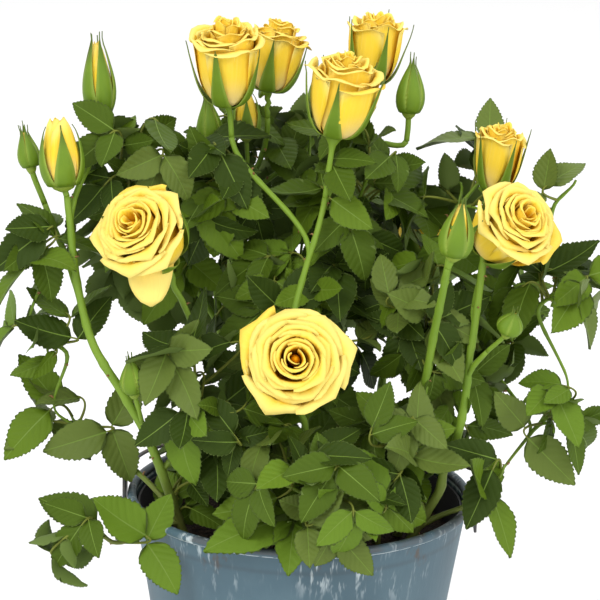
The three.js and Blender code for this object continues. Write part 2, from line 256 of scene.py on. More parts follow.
def leaf_finish(name, tint, rough):
    """Plain leaf colour; the side veins are pressed in along the blade's own map."""
    leaf = Finish(name, Base_Color=(*tint, 1), Specular_IOR_Level=0.17)
    across, along = blade_places(leaf)
    vein = leaf.node("ShaderNodeMath", {"operation": "PINGPONG"}, along * 7 - across * 2.6, 0.5)
    quilt = vein.between(0.0, 0.42) * 0.5 + leaf.noise(420, 3) * 0.7
    return leaf.feed(Roughness=rough + 0.2 * leaf.noise(90, 2),
                     Normal=leaf.bump(quilt, 0.0005, 0.45)).material


def blade_map(finish):
    """The map that says where a point lies on its own leaflet, petal or sepal."""
    return finish.node("ShaderNodeUVMap", {"uv_map": "blade"})


def blade_places(finish):
    """(distance from the midrib 0..1, place along the blade 0..1) from the blade's own map."""
    across, along = (finish.part(blade_map(finish), axis) for axis in "XY")
    return ((across - 0.5) * 2.0).abs(), along


def petal_finish():
    """Golden low down inside, pale over the lips, cream at the foot of each outer side.

    rank is 0..1 from the heart out on a petal's inner side and 1..2 on its outer side; on the
    petal that has let go it is 3 or more, and most of that petal is pale, partly as painted
    light against the shade on its down-turned face.
    """
    petal = Finish("yellow petal", Specular_IOR_Level=0.12)
    across, along = blade_places(petal)
    rank = petal.node("ShaderNodeAttribute", {"attribute_name": "rank"}, out="Fac")
    outside = rank.between(0.99, 1.0)
    rank = rank - outside
    lift = along + across * across * 0.10 + rank * 0.16
    tint = petal.blend(lift.between(0.35, 0.80), (0.93, 0.46, 0.004), (0.95, 0.63, 0.026))
    tint = petal.blend(lift.between(0.66, 0.98), tint, (0.95, 0.69, 0.085))
    back = petal.blend(along.between(0.10, 0.55), (0.93, 0.72, 0.30), (0.95, 0.66, 0.055))
    back = petal.blend(across.between(0.3, 1.0) * 0.6, back, (0.95, 0.64, 0.030))
    tint = petal.blend(outside, tint, back)
    # painted light: the petal that has let go is made paler to offset the shade on its down-turned
    # face
    let_go_painted_light = rank.between(1.5, 2.0) * 0.42
    lip = (along + across ** 2.0 * 0.14 + let_go_painted_light).between(0.74, 1.0) * (rank * 0.75 + 0.30).clamp()
    tint = petal.blend(lip, tint, (0.96, 0.77, 0.205))
    fibre = petal.noise(1, 3, petal.stretched((22, 2, 1), blade_map(petal)))
    tint = petal.blend(fibre.between(0.45, 0.8) * 0.35, tint, (0.96, 0.76, 0.18))
    return petal.feed(Base_Color=tint, Roughness=0.6 + 0.15 * fibre,
                      Normal=petal.bump(fibre, 0.0006, 0.35)).material


def sepal_finish():
    """Fresh green, paler at its edges and darker towards its tip."""
    sepal = Finish("green sepal", Specular_IOR_Level=0.35)
    across, along = blade_places(sepal)
    patch = sepal.noise(120, 3)
    tint = sepal.blend(patch, (0.095, 0.185, 0.005), (0.17, 0.28, 0.012))
    tint = sepal.blend(across.between(0.55, 1.0) * 0.6, tint, (0.32, 0.42, 0.06))
    tint = sepal.blend(along.between(0.55, 1.0) * 0.75, tint, (0.055, 0.085, 0.010))
    return sepal.feed(Base_Color=tint, Roughness=0.5 + 0.2 * patch,
                      Normal=sepal.bump(patch, 0.0004, 0.4)).material


def plain_tint(name, tint, rough):
    """One colour with a fine grain, for the small parts."""
    made = Finish(name, Base_Color=(*tint, 1), Specular_IOR_Level=0.3)
    grain = made.noise(400, 2)
    return made.feed(Roughness=rough + 0.2 * grain, Normal=made.bump(grain, 0.0002, 0.3)).material


# ---- small helpers ----

def nodes_named(*starts):
    """The names of the CAD nodes that start in one of these ways, in order."""
    return sorted(n for n in NODES if n.startswith(starts))


def corners(node):
    """The low and the high corner of a CAD node's box."""
    low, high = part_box(node)
    return Vector(low), Vector(high)


def vertices_of(node):
    """A CAD node's vertices at rest, in metres, one row each."""
    mesh = NODES[node].data
    places = np.empty(len(mesh.vertices) * 3)
    mesh.vertices.foreach_get("co", places)
    return places.reshape(-1, 3)


def foot_radius(node, rise):
    """How far a round node reaches from its axis, up to a rise above its foot."""
    places = vertices_of(node)
    foot = places[places[:, 2] < places[:, 2].min() + rise]
    return float(np.abs(foot[:, :2]).max())


def lerp(a, b, t):
    return a + (b - a) * t


def smooth(low, high, t):
    """0 below low, 1 above high, smooth between."""
    t = np.clip((t - low) / (high - low), 0, 1)
    return t * t * (3 - 2 * t)


def finish_piece(piece, body, replaced, finishes=()):
    """Hands a finished piece to the frame: its body and the CAD nodes it stands for."""
    if finishes:
        piece.data.materials.clear()
        for finish in finishes:
            piece.data.materials.append(finish)
    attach(piece, body)
    if replaced:
        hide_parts(*replaced)


# ---- the pot, its liner, soil, ears and bail ----

def deselect():
    """Leaves edit mode and selects nothing."""
    if bpy.context.object and bpy.context.object.mode != "OBJECT":
        bpy.ops.object.mode_set(mode="OBJECT")
    bpy.ops.object.select_all(action="DESELECT")


def settle(piece, angle=35):
    """Puts a finished piece's place into its mesh and smooths its gentle edges."""
    deselect()
    piece.select_set(True)
    bpy.context.view_layer.objects.active = piece
    bpy.ops.object.transform_apply(location=True, rotation=True, scale=True)
    bpy.ops.object.shade_smooth_by_angle(angle=math.radians(angle))
    return piece


def turned(name, profile, sides=96):
    """A disc drawn up through rings of [radius, height] and closed with a disc at the end."""
    deselect()
    radius, height = profile[0]
    bpy.ops.mesh.primitive_circle_add(
        vertices=sides, radius=radius, fill_type="NGON", location=(0, 0, height)
    )
    piece = bpy.context.object
    piece.name = name
    bpy.ops.object.transform_apply(location=True)
    bpy.ops.object.mode_set(mode="EDIT")
    bpy.ops.mesh.select_all(action="SELECT")
    for radius_next, height_next in profile[1:]:
        grow = radius_next / radius
        bpy.ops.mesh.extrude_region_move(
            TRANSFORM_OT_translate={"value": (0, 0, height_next - height)}
        )
        bpy.ops.transform.resize(value=(grow, grow, 1), center_override=(0, 0, height_next))
        radius, height = radius_next, height_next
    bpy.ops.mesh.select_all(action="SELECT")
    bpy.ops.mesh.normals_make_consistent(inside=False)
    bpy.ops.object.mode_set(mode="OBJECT")
    return settle(piece)


def make_pot():
    """The tapered bucket: foot, wall, rolled bead and the inside down to its floor."""
    rim, top = RIM.x, RIM.z
    foot = foot_radius("pot", 1.5 * MM)
    bead = 2 * MM
    neck = rim - bead - 0.6 * MM
    wall = 1 * MM
    floor = 2.5 * MM
    rounds = [math.radians(angle) for angle in range(-70, 231, 30)]
    profile = [(foot - 1.2 * MM, 0), (foot - 0.3 * MM, 0.3 * MM), (foot, 1.2 * MM)]
    profile += [(lerp(foot, neck, t), lerp(0, top - 4.2 * MM, t)) for t in (0.2, 0.4, 0.6, 0.8, 1)]
    profile += [
        (rim - bead + bead * math.cos(a), top - bead + bead * math.sin(a)) for a in rounds
    ]
    profile += [(neck - wall, top - 6 * MM), (foot - wall, floor), (1 * MM, floor)]
    pot = turned("bucket_pot", profile, 128)
    finish_piece(pot, "planter", ["pot"], [worn_zinc_paint()])


def make_liner():
    """The plastic pot inside, with a thin open mouth."""
    low, high = corners("pot_liner")
    outer, top = high.x, high.z
    foot = foot_radius("pot_liner", MM)
    wall = 1.2 * MM
    liner = turned("black_liner", [
        (foot, low.z),
        (outer, top - 0.5 * MM),
        (outer - 0.3 * MM, top),
        (outer - wall, top - 0.1 * MM),
        (foot - wall, low.z + wall),
        (1 * MM, low.z + wall),
    ])
    finish_piece(liner, "planter", ["pot_liner"], [black_liner()])


def make_soil():
    """A disc drawn up to the soil's edge and in over its heap in rings, its top made lumpy."""
    low, high = corners("soil")
    edge = high.x
    surface = high.z - 5 * MM
    foot = edge - 22 * MM
    heap = 4 * MM
    flat = edge - 1.2 * MM
    profile = [(foot, low.z), (edge - 0.6 * MM, surface - 1 * MM), (flat, surface)]
    for part in (0.93, 0.86, 0.79, 0.72, 0.65, 0.58, 0.51, 0.44, 0.37, 0.3, 0.22, 0.14, 0.06):
        profile.append((flat * part, surface + (1 - part) * heap))
    soil = turned("compost", profile)
    clumps = bpy.data.textures.new("soil clumps", "CLOUDS")
    clumps.noise_scale = 0.007
    clumps.noise_depth = 3
    top = soil.vertex_groups.new(name="top")
    top.add([v.index for v in soil.data.vertices if v.co.z > surface - 0.2 * MM], 1.0, "REPLACE")
    rough = soil.modifiers.new("clumps", "DISPLACE")
    rough.texture = clumps
    rough.strength = 3.5 * MM
    rough.mid_level = 0.6
    rough.vertex_group = "top"
    rough.texture_coords = "LOCAL"
    bpy.ops.object.modifier_apply(modifier="clumps")
    finish_piece(soil, "planter", ["soil"], [compost()])


def make_ear(side_name):
    """A flat plate with a rounded top, drilled for the bail and riveted to the wall."""
    low, high = corners(f"ear_{side_name}")
    side = 1 if low.x > 0 else -1
    centre, size = (low + high) / 2, high - low
    pivot = bail_pivot()
    hole_radius = 2 * MM
    rivet_apart, rivet_rise = 4.2 * MM, 4 * MM
    deselect()
    bpy.ops.mesh.primitive_cube_add(size=1, location=centre, scale=size)
    plate = bpy.context.object
    plate.name = f"ear_plate_{side_name}"
    bpy.ops.object.transform_apply(location=True, scale=True)
    bpy.ops.object.mode_set(mode="EDIT")
    bpy.ops.mesh.select_mode(type="EDGE")
    bpy.ops.mesh.select_all(action="DESELECT")
    bpy.ops.object.mode_set(mode="OBJECT")
    for edge in plate.data.edges:
        ends = [plate.data.vertices[i].co for i in edge.vertices]
        edge.select = abs(ends[0].x - ends[1].x) > 0.5 * size.x and ends[0].z > centre.z
    bpy.ops.object.mode_set(mode="EDIT")
    bpy.ops.mesh.bevel(offset=size.y * 0.49, segments=10)
    bpy.ops.object.mode_set(mode="OBJECT")
    deselect()
    bpy.ops.mesh.primitive_cylinder_add(
        vertices=32, radius=hole_radius, depth=6 * MM, location=(centre.x, pivot.y, pivot.z),
        rotation=(0, math.pi / 2, 0),
    )
    drill = bpy.context.object
    hole = plate.modifiers.new("hole", "BOOLEAN")
    hole.operation = "DIFFERENCE"
    hole.object = drill
    bpy.context.view_layer.objects.active = plate
    bpy.ops.object.modifier_apply(modifier="hole")
    bpy.data.objects.remove(drill)
    soften = plate.modifiers.new("soften", "BEVEL")
    soften.width = 0.2 * MM
    soften.segments = 2
    soften.limit_method = "ANGLE"
    bpy.ops.object.modifier_apply(modifier="soften")
    settle(plate)
    finish_piece(plate, "planter", [f"ear_{side_name}"], [STEEL])
    for across in (-rivet_apart, rivet_apart):
        make_rivet(Vector((centre.x + side * size.x / 2, across, low.z + rivet_rise)), side)


def make_rivet(at, side):
    """A low domed head whose shank goes through the plate to the wall."""
    deselect()
    bpy.ops.mesh.primitive_cylinder_add(vertices=24, radius=1.6 * MM, depth=5 * MM)
    rivet = bpy.context.object
    rivet.name = "ear_rivet"
    bpy.ops.object.mode_set(mode="EDIT")
    bpy.ops.mesh.select_all(action="DESELECT")
    bpy.ops.object.mode_set(mode="OBJECT")
    for face in rivet.data.polygons:
        face.select = face.normal.z > 0.9
    bpy.ops.object.mode_set(mode="EDIT")
    bpy.ops.mesh.select_mode(type="FACE")
    for shrink, rise in ((0.86, 0.35 * MM), (0.7, 0.25 * MM), (0.5, 0.12 * MM)):
        bpy.ops.mesh.extrude_region_move(TRANSFORM_OT_translate={"value": (0, 0, rise)})
        bpy.ops.transform.resize(value=(shrink, shrink, 1))
    bpy.ops.object.mode_set(mode="OBJECT")
    sunk = 2.3 * MM
    rivet.rotation_euler = (0, side * math.pi / 2, 0)
    rivet.location = at - Vector((side * sunk, 0, 0))
    settle(rivet, 50)
    finish_piece(rivet, "planter", [], [STEEL])


def bail_pivot():
    """The middle of the hinge's axis."""
    joint = next(j for j in frame["joints"] if j["name"] == "bail_hinge")
    return Vector(joint["pos_m"])


def make_bail():
    """One bent wire: hooked ends through both ears and a bow lying back on the rim."""
    high = corners("bail")[1]
    pivot = bail_pivot()
    wire = 0.9 * MM
    reach = high.y - wire
    drop = -9.6 * MM
    ear_low, ear_high = corners("ear_right")
    outside = high.x - wire - 0.6 * MM
    bow = ear_low.x - 3.4 * MM
    first, span, steps = 9, 162, 30
    path = []
    for i in range(steps + 1):
        angle = math.radians(first + span * i / steps)
        y = reach * math.sin(angle)
        path.append(Vector((-bow * math.cos(angle), y, pivot.z + drop * y / reach)))
    # the right end, from its turned-down tip through the ear to the bow
    ends = [
        Vector((outside + 0.6 * MM, -4.5 * MM, pivot.z - 2.5 * MM)),
        Vector((outside + 0.3 * MM, -2.6 * MM, pivot.z - 0.9 * MM)),
        Vector((outside, -1 * MM, pivot.z)),
        Vector(((ear_low.x + ear_high.x) / 2, 0, pivot.z)),
        Vector((ear_low.x - 2 * MM, 0.8 * MM, pivot.z)),
        Vector((bow, 4 * MM, pivot.z - 0.3 * MM)),
    ]
    left = [Vector((-p.x, p.y, p.z)) for p in ends]
    path = left + path + ends[::-1]
    deselect()
    curve = bpy.data.curves.new("bail", "CURVE")
    curve.dimensions = "3D"
    curve.bevel_depth = wire
    curve.bevel_resolution = 4
    curve.use_fill_caps = True
    strand = curve.splines.new("NURBS")
    strand.points.add(len(path) - 1)
    for point, place in zip(strand.points, path):
        point.co = (*place, 1)
    strand.order_u = 3
    strand.use_endpoint_u = True
    strand.resolution_u = 3
    bail = bpy.data.objects.new("bail_wire", curve)
    bpy.context.collection.objects.link(bail)
    bail.select_set(True)
    bpy.context.view_layer.objects.active = bail
    bpy.ops.object.convert(target="MESH")
    bail = bpy.context.object
    settle(bail, 60)
    finish_piece(bail, "handle", ["bail"], [STEEL])


# ---- gathering many small shapes into one mesh ----

class Gather:
    """Shapes added one by one in metres and joined into one mesh.

    marks give each face its finish, blade is a point's place on its own petal or leaflet, rank
    says how far out a petal is, and an edge between two margin points stays sharp. Each shape
    with an atlas takes one cell of the baking map; shapes without share the first.
    """

    def __init__(self):
        self.points = []
        self.faces = []
        self.marks = []
        self.blade = []
        self.rank = []
        self.margin = []
        self.atlas = []
        self.cells = 1
        self.count = 0

    def add(self, points, faces, marks, blade=None, rank=0.0, atlas=None, margin=None):
        total = len(points)
        self.points.append(np.asarray(points))
        self.faces += [tuple(i + self.count for i in face) for face in faces]
        self.marks += marks if isinstance(marks, list) else [marks] * len(faces)
        self.blade.append(np.zeros((total, 2)) if blade is None else np.asarray(blade))
        self.rank.append(np.broadcast_to(rank, total))
        self.margin.append(np.zeros(total, bool) if margin is None else np.asarray(margin))
        if atlas is None:
            square = [(0.1, 0.1), (0.9, 0.1), (0.9, 0.9), (0.1, 0.9)]
            patch = [square[i % 4] for face in faces for i in range(len(face))]
            self.atlas.append((0, np.array(patch)))
        else:
            self.atlas.append((self.cells, np.asarray(atlas)))
            self.cells += 1
        self.count += total

    def baking_map(self):
        """Every face corner's place in the cell of its own shape."""
        side = math.ceil(math.sqrt(self.cells))
        return np.concatenate([
            (uv * 0.9 + 0.05 + np.array([cell % side, cell // side])) / side
            for cell, uv in self.atlas
        ])

    def build(self, name, finishes, replaced=(), atlas=True):
        """One mesh of all the shapes, handed to the frame as a piece of the planter."""
        mesh = bpy.data.meshes.new(name)
        mesh.from_pydata(np.concatenate(self.points).tolist(), [], self.faces)
        for finish in finishes:
            mesh.materials.append(finish)
        mesh.polygons.foreach_set("material_index", self.marks)
        mesh.polygons.foreach_set("use_smooth", [True] * len(self.faces))
        corner = np.empty(len(mesh.loops), dtype=np.int32)
        mesh.loops.foreach_get("vertex_index", corner)
        blade = mesh.uv_layers.new(name="blade")
        blade.data.foreach_set("uv", np.concatenate(self.blade)[corner].ravel())
        if atlas:
            mesh.uv_layers.new(name="OFBake").data.foreach_set("uv", self.baking_map().ravel())
        rank = mesh.attributes.new("rank", "FLOAT", "POINT")
        rank.data.foreach_set("value", np.concatenate(self.rank))
        ends = np.empty(len(mesh.edges) * 2, dtype=np.int32)
        mesh.edges.foreach_get("vertices", ends)
        margin = np.concatenate(self.margin)[ends].reshape(-1, 2).all(axis=1)
        sharp = mesh.attributes.new("sharp_edge", "BOOLEAN", "EDGE")
        sharp.data.foreach_set("value", margin)
        mesh.update()
        piece = bpy.data.objects.new(name, mesh)
        bpy.context.collection.objects.link(piece)
        finish_piece(piece, "planter", replaced)


def unit(vector):
    return vector / max(np.linalg.norm(vector), 1e-12)


def tube(gather, path, radii, mark=0, sides=8):
    """A round limb through the path's points, each with its own radius, closed at both ends."""
    path = np.asarray(path, dtype=float)
    tangents = np.gradient(path, axis=0)
    across = unit(np.cross(tangents[0], (0.31, 0.87, 0.12)))
    rings = []
    turn = np.linspace(0, 2 * math.pi, sides, endpoint=False)
    for point, tangent, radius in zip(path, tangents, radii):
        tangent = unit(tangent)
        across = unit(across - tangent * np.dot(across, tangent))
        other = np.cross(tangent, across)
        circle = np.outer(np.cos(turn), across) + np.outer(np.sin(turn), other)
        rings.append(point + radius * circle)
    points = np.concatenate(rings)
    faces = []
    for i in range(len(path) - 1):
        for j in range(sides):
            a, b = i * sides + j, i * sides + (j + 1) % sides
            faces.append((a, b, b + sides, a + sides))
    faces.append(tuple(range(sides - 1, -1, -1)))
    faces.append(tuple((len(path) - 1) * sides + j for j in range(sides)))
    gather.add(points, faces, mark)


def bezier(a, b, c, d, count):
    """Points along the curve from a to d that b and c draw aside."""
    t = np.linspace(0, 1, count)[:, None]
    a, b, c, d = (np.asarray(p, dtype=float) for p in (a, b, c, d))
    return a * (1 - t) ** 3 + 3 * b * t * (1 - t) ** 2 + 3 * c * t * t * (1 - t) + d * t ** 3


def step_lengths(path):
    return np.linalg.norm(np.diff(path, axis=0), axis=1)


def nearest(places, spot):
    return places[np.linalg.norm(places - spot, axis=1).argmin()]


def resampled(path, count):
    """The same path in evenly spaced points."""
    path = np.asarray(path)
    length = np.concatenate([[0], np.cumsum(step_lengths(path))])
    where = np.linspace(0, length[-1], count)
    return np.stack([np.interp(where, length, path[:, k]) for k in range(3)], axis=1)


def smoothed(path, rounds):
    """The path with each inner point drawn towards its neighbours, its ends kept."""
    path = np.array(path)
    for _ in range(rounds):
        path[1:-1] = (path[:-2] + 2 * path[1:-1] + path[2:]) / 4
    return path


# ---- the limbs: read from the CAD solids, then grown on into the masses ----

def centreline(node, bins):
    """The middle of a slender CAD limb, from its lower end to its upper end."""
    cloud = vertices_of(node)
    low, high = cloud[cloud[:, 2].argmin()], cloud[cloud[:, 2].argmax()]
    axis = unit(high - low)
    along = (cloud - low) @ axis
    path = []
    edges = np.linspace(along.min(), along.max(), bins + 1)
    for start, stop in zip(edges[:-1], edges[1:]):
        inside = cloud[(along >= start - 1e-6) & (along <= stop + 1e-6)]
        if len(inside) >= 3:
            path.append(inside.mean(axis=0))
    return np.array(path)


class Limb:
    """A limb's middle line and its radius at each point of it."""

    def __init__(self, path, radii):
        self.path = np.asarray(path)
        self.radii = np.asarray(radii)


LIMBS = []
BARK, PRICKLE, CUT = 0, 1, 2
# radii of the limbs
CANE_FOOT, CANE_TIP = 2.2 * MM, 1.45 * MM
SHOOT = 1.2 * MM
STALK_CUP = 4.3 * MM
BUD_STALK, SIDE_STALK, TWIG_FOOT = 1.25 * MM, 0.95 * MM, 0.95 * MM
LOWEST_FORK = 0.118  # the height of the soil, under which no shoot leaves a cane


def grow_canes():
    """The main canes: the CAD path, run down into the soil and up into the mass it enters.

    The left cane ends in a bud, so it isn't run on.
    """
    run_on = 22 * MM
    for node in nodes_named("cane_"):
        path = centreline(node, 10)
        foot = path[0] - (path[1] - path[0]) * 0.3 - np.array([0, 0, 5 * MM])
        grown = [foot, *path]
        heading = unit(path[-1] - path[-3])
        if node != "cane_left":
            grown.append(path[-1] + run_on * unit(heading + np.array([0, 0, 0.4])))
        line = smoothed(resampled(grown, 40), 3)
        LIMBS.append(Limb(line, np.linspace(CANE_FOOT, CANE_TIP, len(line))))


def nearest_limb(place):
    """Where a shoot to this place forks off: near it, but low enough for it to climb."""
    best = None
    for limb in LIMBS:
        for i, point in enumerate(limb.path):
            if point[2] < LOWEST_FORK:
                continue
            aside = math.hypot(place[0] - point[0], place[1] - point[1])
            rise = place[2] - point[2]
            # the distance, and more where the shoot would have to climb too little for its reach
            cost = math.hypot(aside, rise) + 2.0 * max(0, 0.9 * aside + 6 * MM - rise)
            if best is None or cost < best[0]:
                ahead = limb.path[min(i + 1, len(limb.path) - 1)] - limb.path[max(i - 1, 0)]
                best = (cost, point, unit(ahead), limb.radii[i])
    return best[1:]


def fork(place, heading, radius):
    """A shoot that leaves the nearest limb along it and bows into its own heading."""
    steps = 16
    start, along, thick = nearest_limb(place)
    gap = np.linalg.norm(place - start)
    line = bezier(start, start + along * gap * 0.3, place - heading * gap * 0.26, place, steps)
    return line, np.linspace(min(thick * 0.85, SHOOT * 1.15), radius, steps)


def grow_stalks():
    """Each flower's stalk: the CAD part with its cup, joined back to the nearest limb."""
    steps = 18
    for node in nodes_named("stalk_"):
        line = smoothed(resampled(centreline(node, 7), steps), 1)
        length = step_lengths(line).sum()
        left = np.linspace(length, 0, steps)
        radii = lerp(SHOOT, STALK_CUP, 1 - smooth(0, 6.5 * MM, left))
        LIMBS.append(Limb(*fork(line[0], unit(line[3] - line[0]), SHOOT)))
        LIMBS.append(Limb(line, radii))


def draw_limbs(gather, rng):
    """All the limbs, with swollen nodes along them and small hooked prickles."""
    for limb in LIMBS:
        length = step_lengths(limb.path).sum()
        count = max(8, int(length / (2.2 * MM)))
        line = resampled(limb.path, count)
        radii = np.interp(np.linspace(0, 1, count), np.linspace(0, 1, len(limb.radii)), limb.radii)
        steps = np.linspace(0, length, count)
        first, apart = rng.uniform(8, 16) * MM, rng.uniform(15, 21) * MM
        for knot in np.arange(first, length - 6 * MM, apart):
            radii = radii * (1 + 0.16 * np.exp(-(((steps - knot) / (1.6 * MM)) ** 2)))
        wander = np.array([[rng.gauss(0, 0.12), rng.gauss(0, 0.12), 0] for _ in range(count)]) * MM
        wander[0] = wander[-1] = 0
        tube(gather, line + smoothed(wander, 2), radii, BARK, 10)
        for _ in range(int(length / (20 * MM))):
            grow_prickle(gather, line, radii, rng)


def grow_prickle(gather, line, radii, rng):
    """A small hook that points back down the limb."""
    i = rng.randrange(2, len(line) - 2)
    along = unit(line[i + 1] - line[i - 1])
    out = unit(np.cross(along, [rng.gauss(0, 1) for _ in range(3)]))
    base = line[i] + out * radii[i] * 0.6
    size = rng.uniform(1.4, 2.4) * MM
    points = [base - along * 0.8 * MM, base + out * size * 0.6 - along * 0.2 * MM,
              base + out * size - along * 0.7 * MM]
    tube(gather, points, [0.65 * MM, 0.35 * MM, 0.05 * MM], PRICKLE, 5)


# ---- leaves ----

LEAF_TINTS = {  # each tint's colour and roughness
    "deep green leaf": ((0.030, 0.056, 0.0030), 0.52),
    "dark leaf": ((0.064, 0.112, 0.0055), 0.50),
    "green leaf": ((0.106, 0.180, 0.0090), 0.50),
    # painted sheen: this grey-green tint stands in for the soft highlight on glossy leaves
    "grey-green leaf with painted sheen": ((0.118, 0.168, 0.0280), 0.42),
    "fresh leaf": ((0.118, 0.205, 0.0140), 0.50),
    "young leaf": ((0.21, 0.31, 0.030), 0.52),
}
TOPS = list(range(len(LEAF_TINTS)))
RIM_TINT = list(LEAF_TINTS).index("fresh leaf")  # of the leaf that hangs over the rim
UNDERSIDE, RIB, RACHIS = (len(TOPS) + i for i in range(3))
STATIONS = 7  # side veins along each half of a blade
TEETH = 2  # teeth between two side veins


def half_width(y):
    """Half the width of a blade one unit long: oval, widest below its middle, pointed."""
    y = min(max(y, 0.0), 1.0)
    return 0.77 * y ** 0.55 * (1 - y) ** 0.93


def lean(y):
    """How far a side vein's outer end lies ahead of its foot."""
    return 0.085 * math.sin(math.pi * y)


def blade_template():
    """A toothed oval blade one unit long, as a thin closed shell; its upper side faces +Z."""
    rib_half, rib_up = 0.011, 0.010
    quilt_high, quilt_low = 0.014, 0.002
    keel = -0.036
    tooth_out, notch_in, tooth_ahead = 1.06, 0.94, 0.014
    step = TEETH * 2
    points, places, margin, faces, kinds, atlas = [], [], [], [], [], []
    rows = {}

    def put(x, y, z=0.0, edge=False):
        points.append((x, y, z))
        places.append((0.5 + x / 0.7, y))
        margin.append(edge)
        return len(points) - 1

    def face(kind, *indices, flip=False):
        indices = tuple(reversed(indices)) if flip else indices
        faces.append(indices)
        kinds.append(kind)
        shift = 0.5 if kind == "under" else 0.0
        atlas.extend((places[i][0] * 0.48 + shift, places[i][1]) for i in indices)

    for side in (-1, 1):
        ribs, halves, edges = [], [], []
        for k in range(STATIONS + 1):
            y = k / STATIONS
            slant = lean(y)
            ribs.append(put(side * rib_half * (1 - 0.7 * y), y, rib_up))
            middle = y + slant / 2
            lift = quilt_high if k % 2 else quilt_low
            halves.append(put(side * max(half_width(middle) / 2, 0.006), middle, lift))
            edges.append(put(side * max(half_width(y + slant), 0.008), y + slant, 0, True))
            if k == STATIONS:
                continue
            ahead = (k + 1) / STATIONS
            ahead += lean(ahead)
            for tooth in range(step - 1):
                place = lerp(y + slant, ahead, (tooth + 1) / step)
                notch = tooth % 2
                out = max(half_width(place) * (notch_in if notch else tooth_out), 0.004)
                edges.append(put(side * out, place + (0.0 if notch else tooth_ahead), 0, True))
        rows[side] = ribs, halves, edges
    under = [put(0, k / STATIONS, keel) for k in range(STATIONS + 1)]
    for side, (ribs, halves, edges) in rows.items():
        flip = side < 0
        for k in range(STATIONS):
            outer = edges[k * step:(k + 1) * step + 1]
            face("top", ribs[k], halves[k], halves[k + 1], ribs[k + 1], flip=flip)
            face("top", halves[k], *outer, halves[k + 1], flip=flip)
            face("under", under[k], *outer, under[k + 1], flip=not flip)
    left, right = rows[-1], rows[1]
    for k in range(STATIONS):
        face("rib", left[0][k], right[0][k], right[0][k + 1], left[0][k + 1])
    for k, flip in ((0, False), (STATIONS, True)):
        ring = [left[2][k * step], left[1][k], left[0][k], right[0][k], right[1][k],
                right[2][k * step], under[k]]
        face("under", *ring, flip=not flip)
    return np.array(points), np.array(places), margin, faces, kinds, atlas


BLADE_POINTS, BLADE_MAP, BLADE_MARGIN, BLADE_FACES, BLADE_KINDS, BLADE_ATLAS = blade_template()


def leaflet(gather, base, heading, facing, length, tint, rng, width=1.0):
    """One toothed leaflet: folded a little along its rib, arched along its length, waved."""
    heading = unit(heading)
    facing = unit(facing - heading * np.dot(facing, heading))
    side = np.cross(heading, facing)
    x, y, z = BLADE_POINTS[:, 0] * width, BLADE_POINTS[:, 1], BLADE_POINTS[:, 2]
    fold = rng.uniform(0.05, 0.40)
    droop = rng.choice((-1, 1, 1)) * rng.uniform(0.08, 0.75)
    wave = rng.uniform(0.0, 0.03)
    phase = rng.uniform(0, ANY_TURN)
    twist = rng.uniform(-0.3, 0.3) * y
    z = z + np.abs(x) * math.tan(fold) + wave * np.sin(9 * y + phase) * np.abs(x) / 0.3
    x, z = x * np.cos(twist) - z * np.sin(twist), x * np.sin(twist) + z * np.cos(twist)
    bend = droop * y
    along = np.sin(bend) / droop + z * np.sin(bend)
    rise = -(1 - np.cos(bend)) / droop + z * np.cos(bend)
    points = base + length * (
        np.outer(x, side) + np.outer(along, heading) + np.outer(rise, facing)
    )
    marks = [{"top": tint, "rib": RIB, "under": UNDERSIDE}[kind] for kind in BLADE_KINDS]
    gather.add(points, BLADE_FACES, marks, BLADE_MAP, 0.0, BLADE_ATLAS, BLADE_MARGIN)


def room_for(base, heading, length):
    """Whether a leaflet from base would miss the flowers, stems, gaps, pot and soil."""
    return not blocked(base + np.outer([0.15, 0.35, 0.55, 0.75, 1.0], heading * length), 3 * MM)


def compound_leaf(gather, base, spot, way, facing, length, pairs, tint, rng):
    """A rose leaf whose end leaflet lies over spot, pointing along way; side leaflets in pairs."""
    steps = 17
    end = spot - way * length * 0.45
    if not room_for(end, way, length):
        return
    gap = np.linalg.norm(end - base)
    handle = min(gap * 0.6, length * 1.1)
    bow = end - way * handle
    line = bezier(base, base + (bow - base) * 0.45, bow, end, steps)
    left = step_lengths(line[::-1]).cumsum()  # the length of stalk back from the end
    leaflet(gather, end, way, facing, length, tint, rng, rng.uniform(0.92, 1.1))
    size = rng.uniform(0.80, 0.95)
    for k in range(pairs):
        back = (0.22 + 0.50 * k) * length
        if back > left[-1] - 4 * MM:
            break
        i = steps - 1 - int(np.searchsorted(left, back))
        spine = unit(line[min(i + 1, steps - 1)] - line[i - 1])
        across = unit(np.cross(spine, facing))
        for hand in (-1, 1):
            swing = rng.uniform(0.80, 1.15)
            out = unit(spine * math.cos(swing) + across * hand * math.sin(swing)
                       + facing * rng.uniform(-0.2, 0.1))
            tilt = facing + across * hand * rng.uniform(-0.1, 0.3)
            reach = length * size * rng.uniform(0.92, 1.05)
            start = line[i] + out * 1.0 * MM
            if room_for(start, out, reach):
                tube(gather, [line[i], start + out * 0.6 * MM], [0.4 * MM, 0.3 * MM], RACHIS, 4)
                leaflet(gather, start, out, tilt, reach, tint, rng, rng.uniform(0.92, 1.1))
        size *= rng.uniform(0.76, 0.9)
    tube(gather, line, np.linspace(0.75, 0.38, steps) * MM, RACHIS, 5)


CLEAR = []  # (middle, radius, facing, height) of every flower and bud, kept free of leaves
STEMS = []  # one array of places along the canes and stalks, which no leaf is grown through
STEM_ROOM = 3.2 * MM
FRONT = unit(np.array([0, -1, 0.28]))  # the way the bush's best side faces
# gaps in the crown, open from front to back: the middle and the radius of each, in millimetres
GAPS = np.array([
    (-97, 0, 181, 10), (-98, 0, 134, 10), (113, 0, 258, 11), (119, 0, 186, 9.5),
    (95, 0, 137, 9), (97, 0, 244, 6),
]) * MM


def in_gap(places):
    """Whether any of these places lies in a gap."""
    off = places[:, None, :] - GAPS[:, :3]
    aside = np.linalg.norm(off - (off @ FRONT)[..., None] * FRONT, axis=2)
    return bool((aside < GAPS[:, 3]).any())


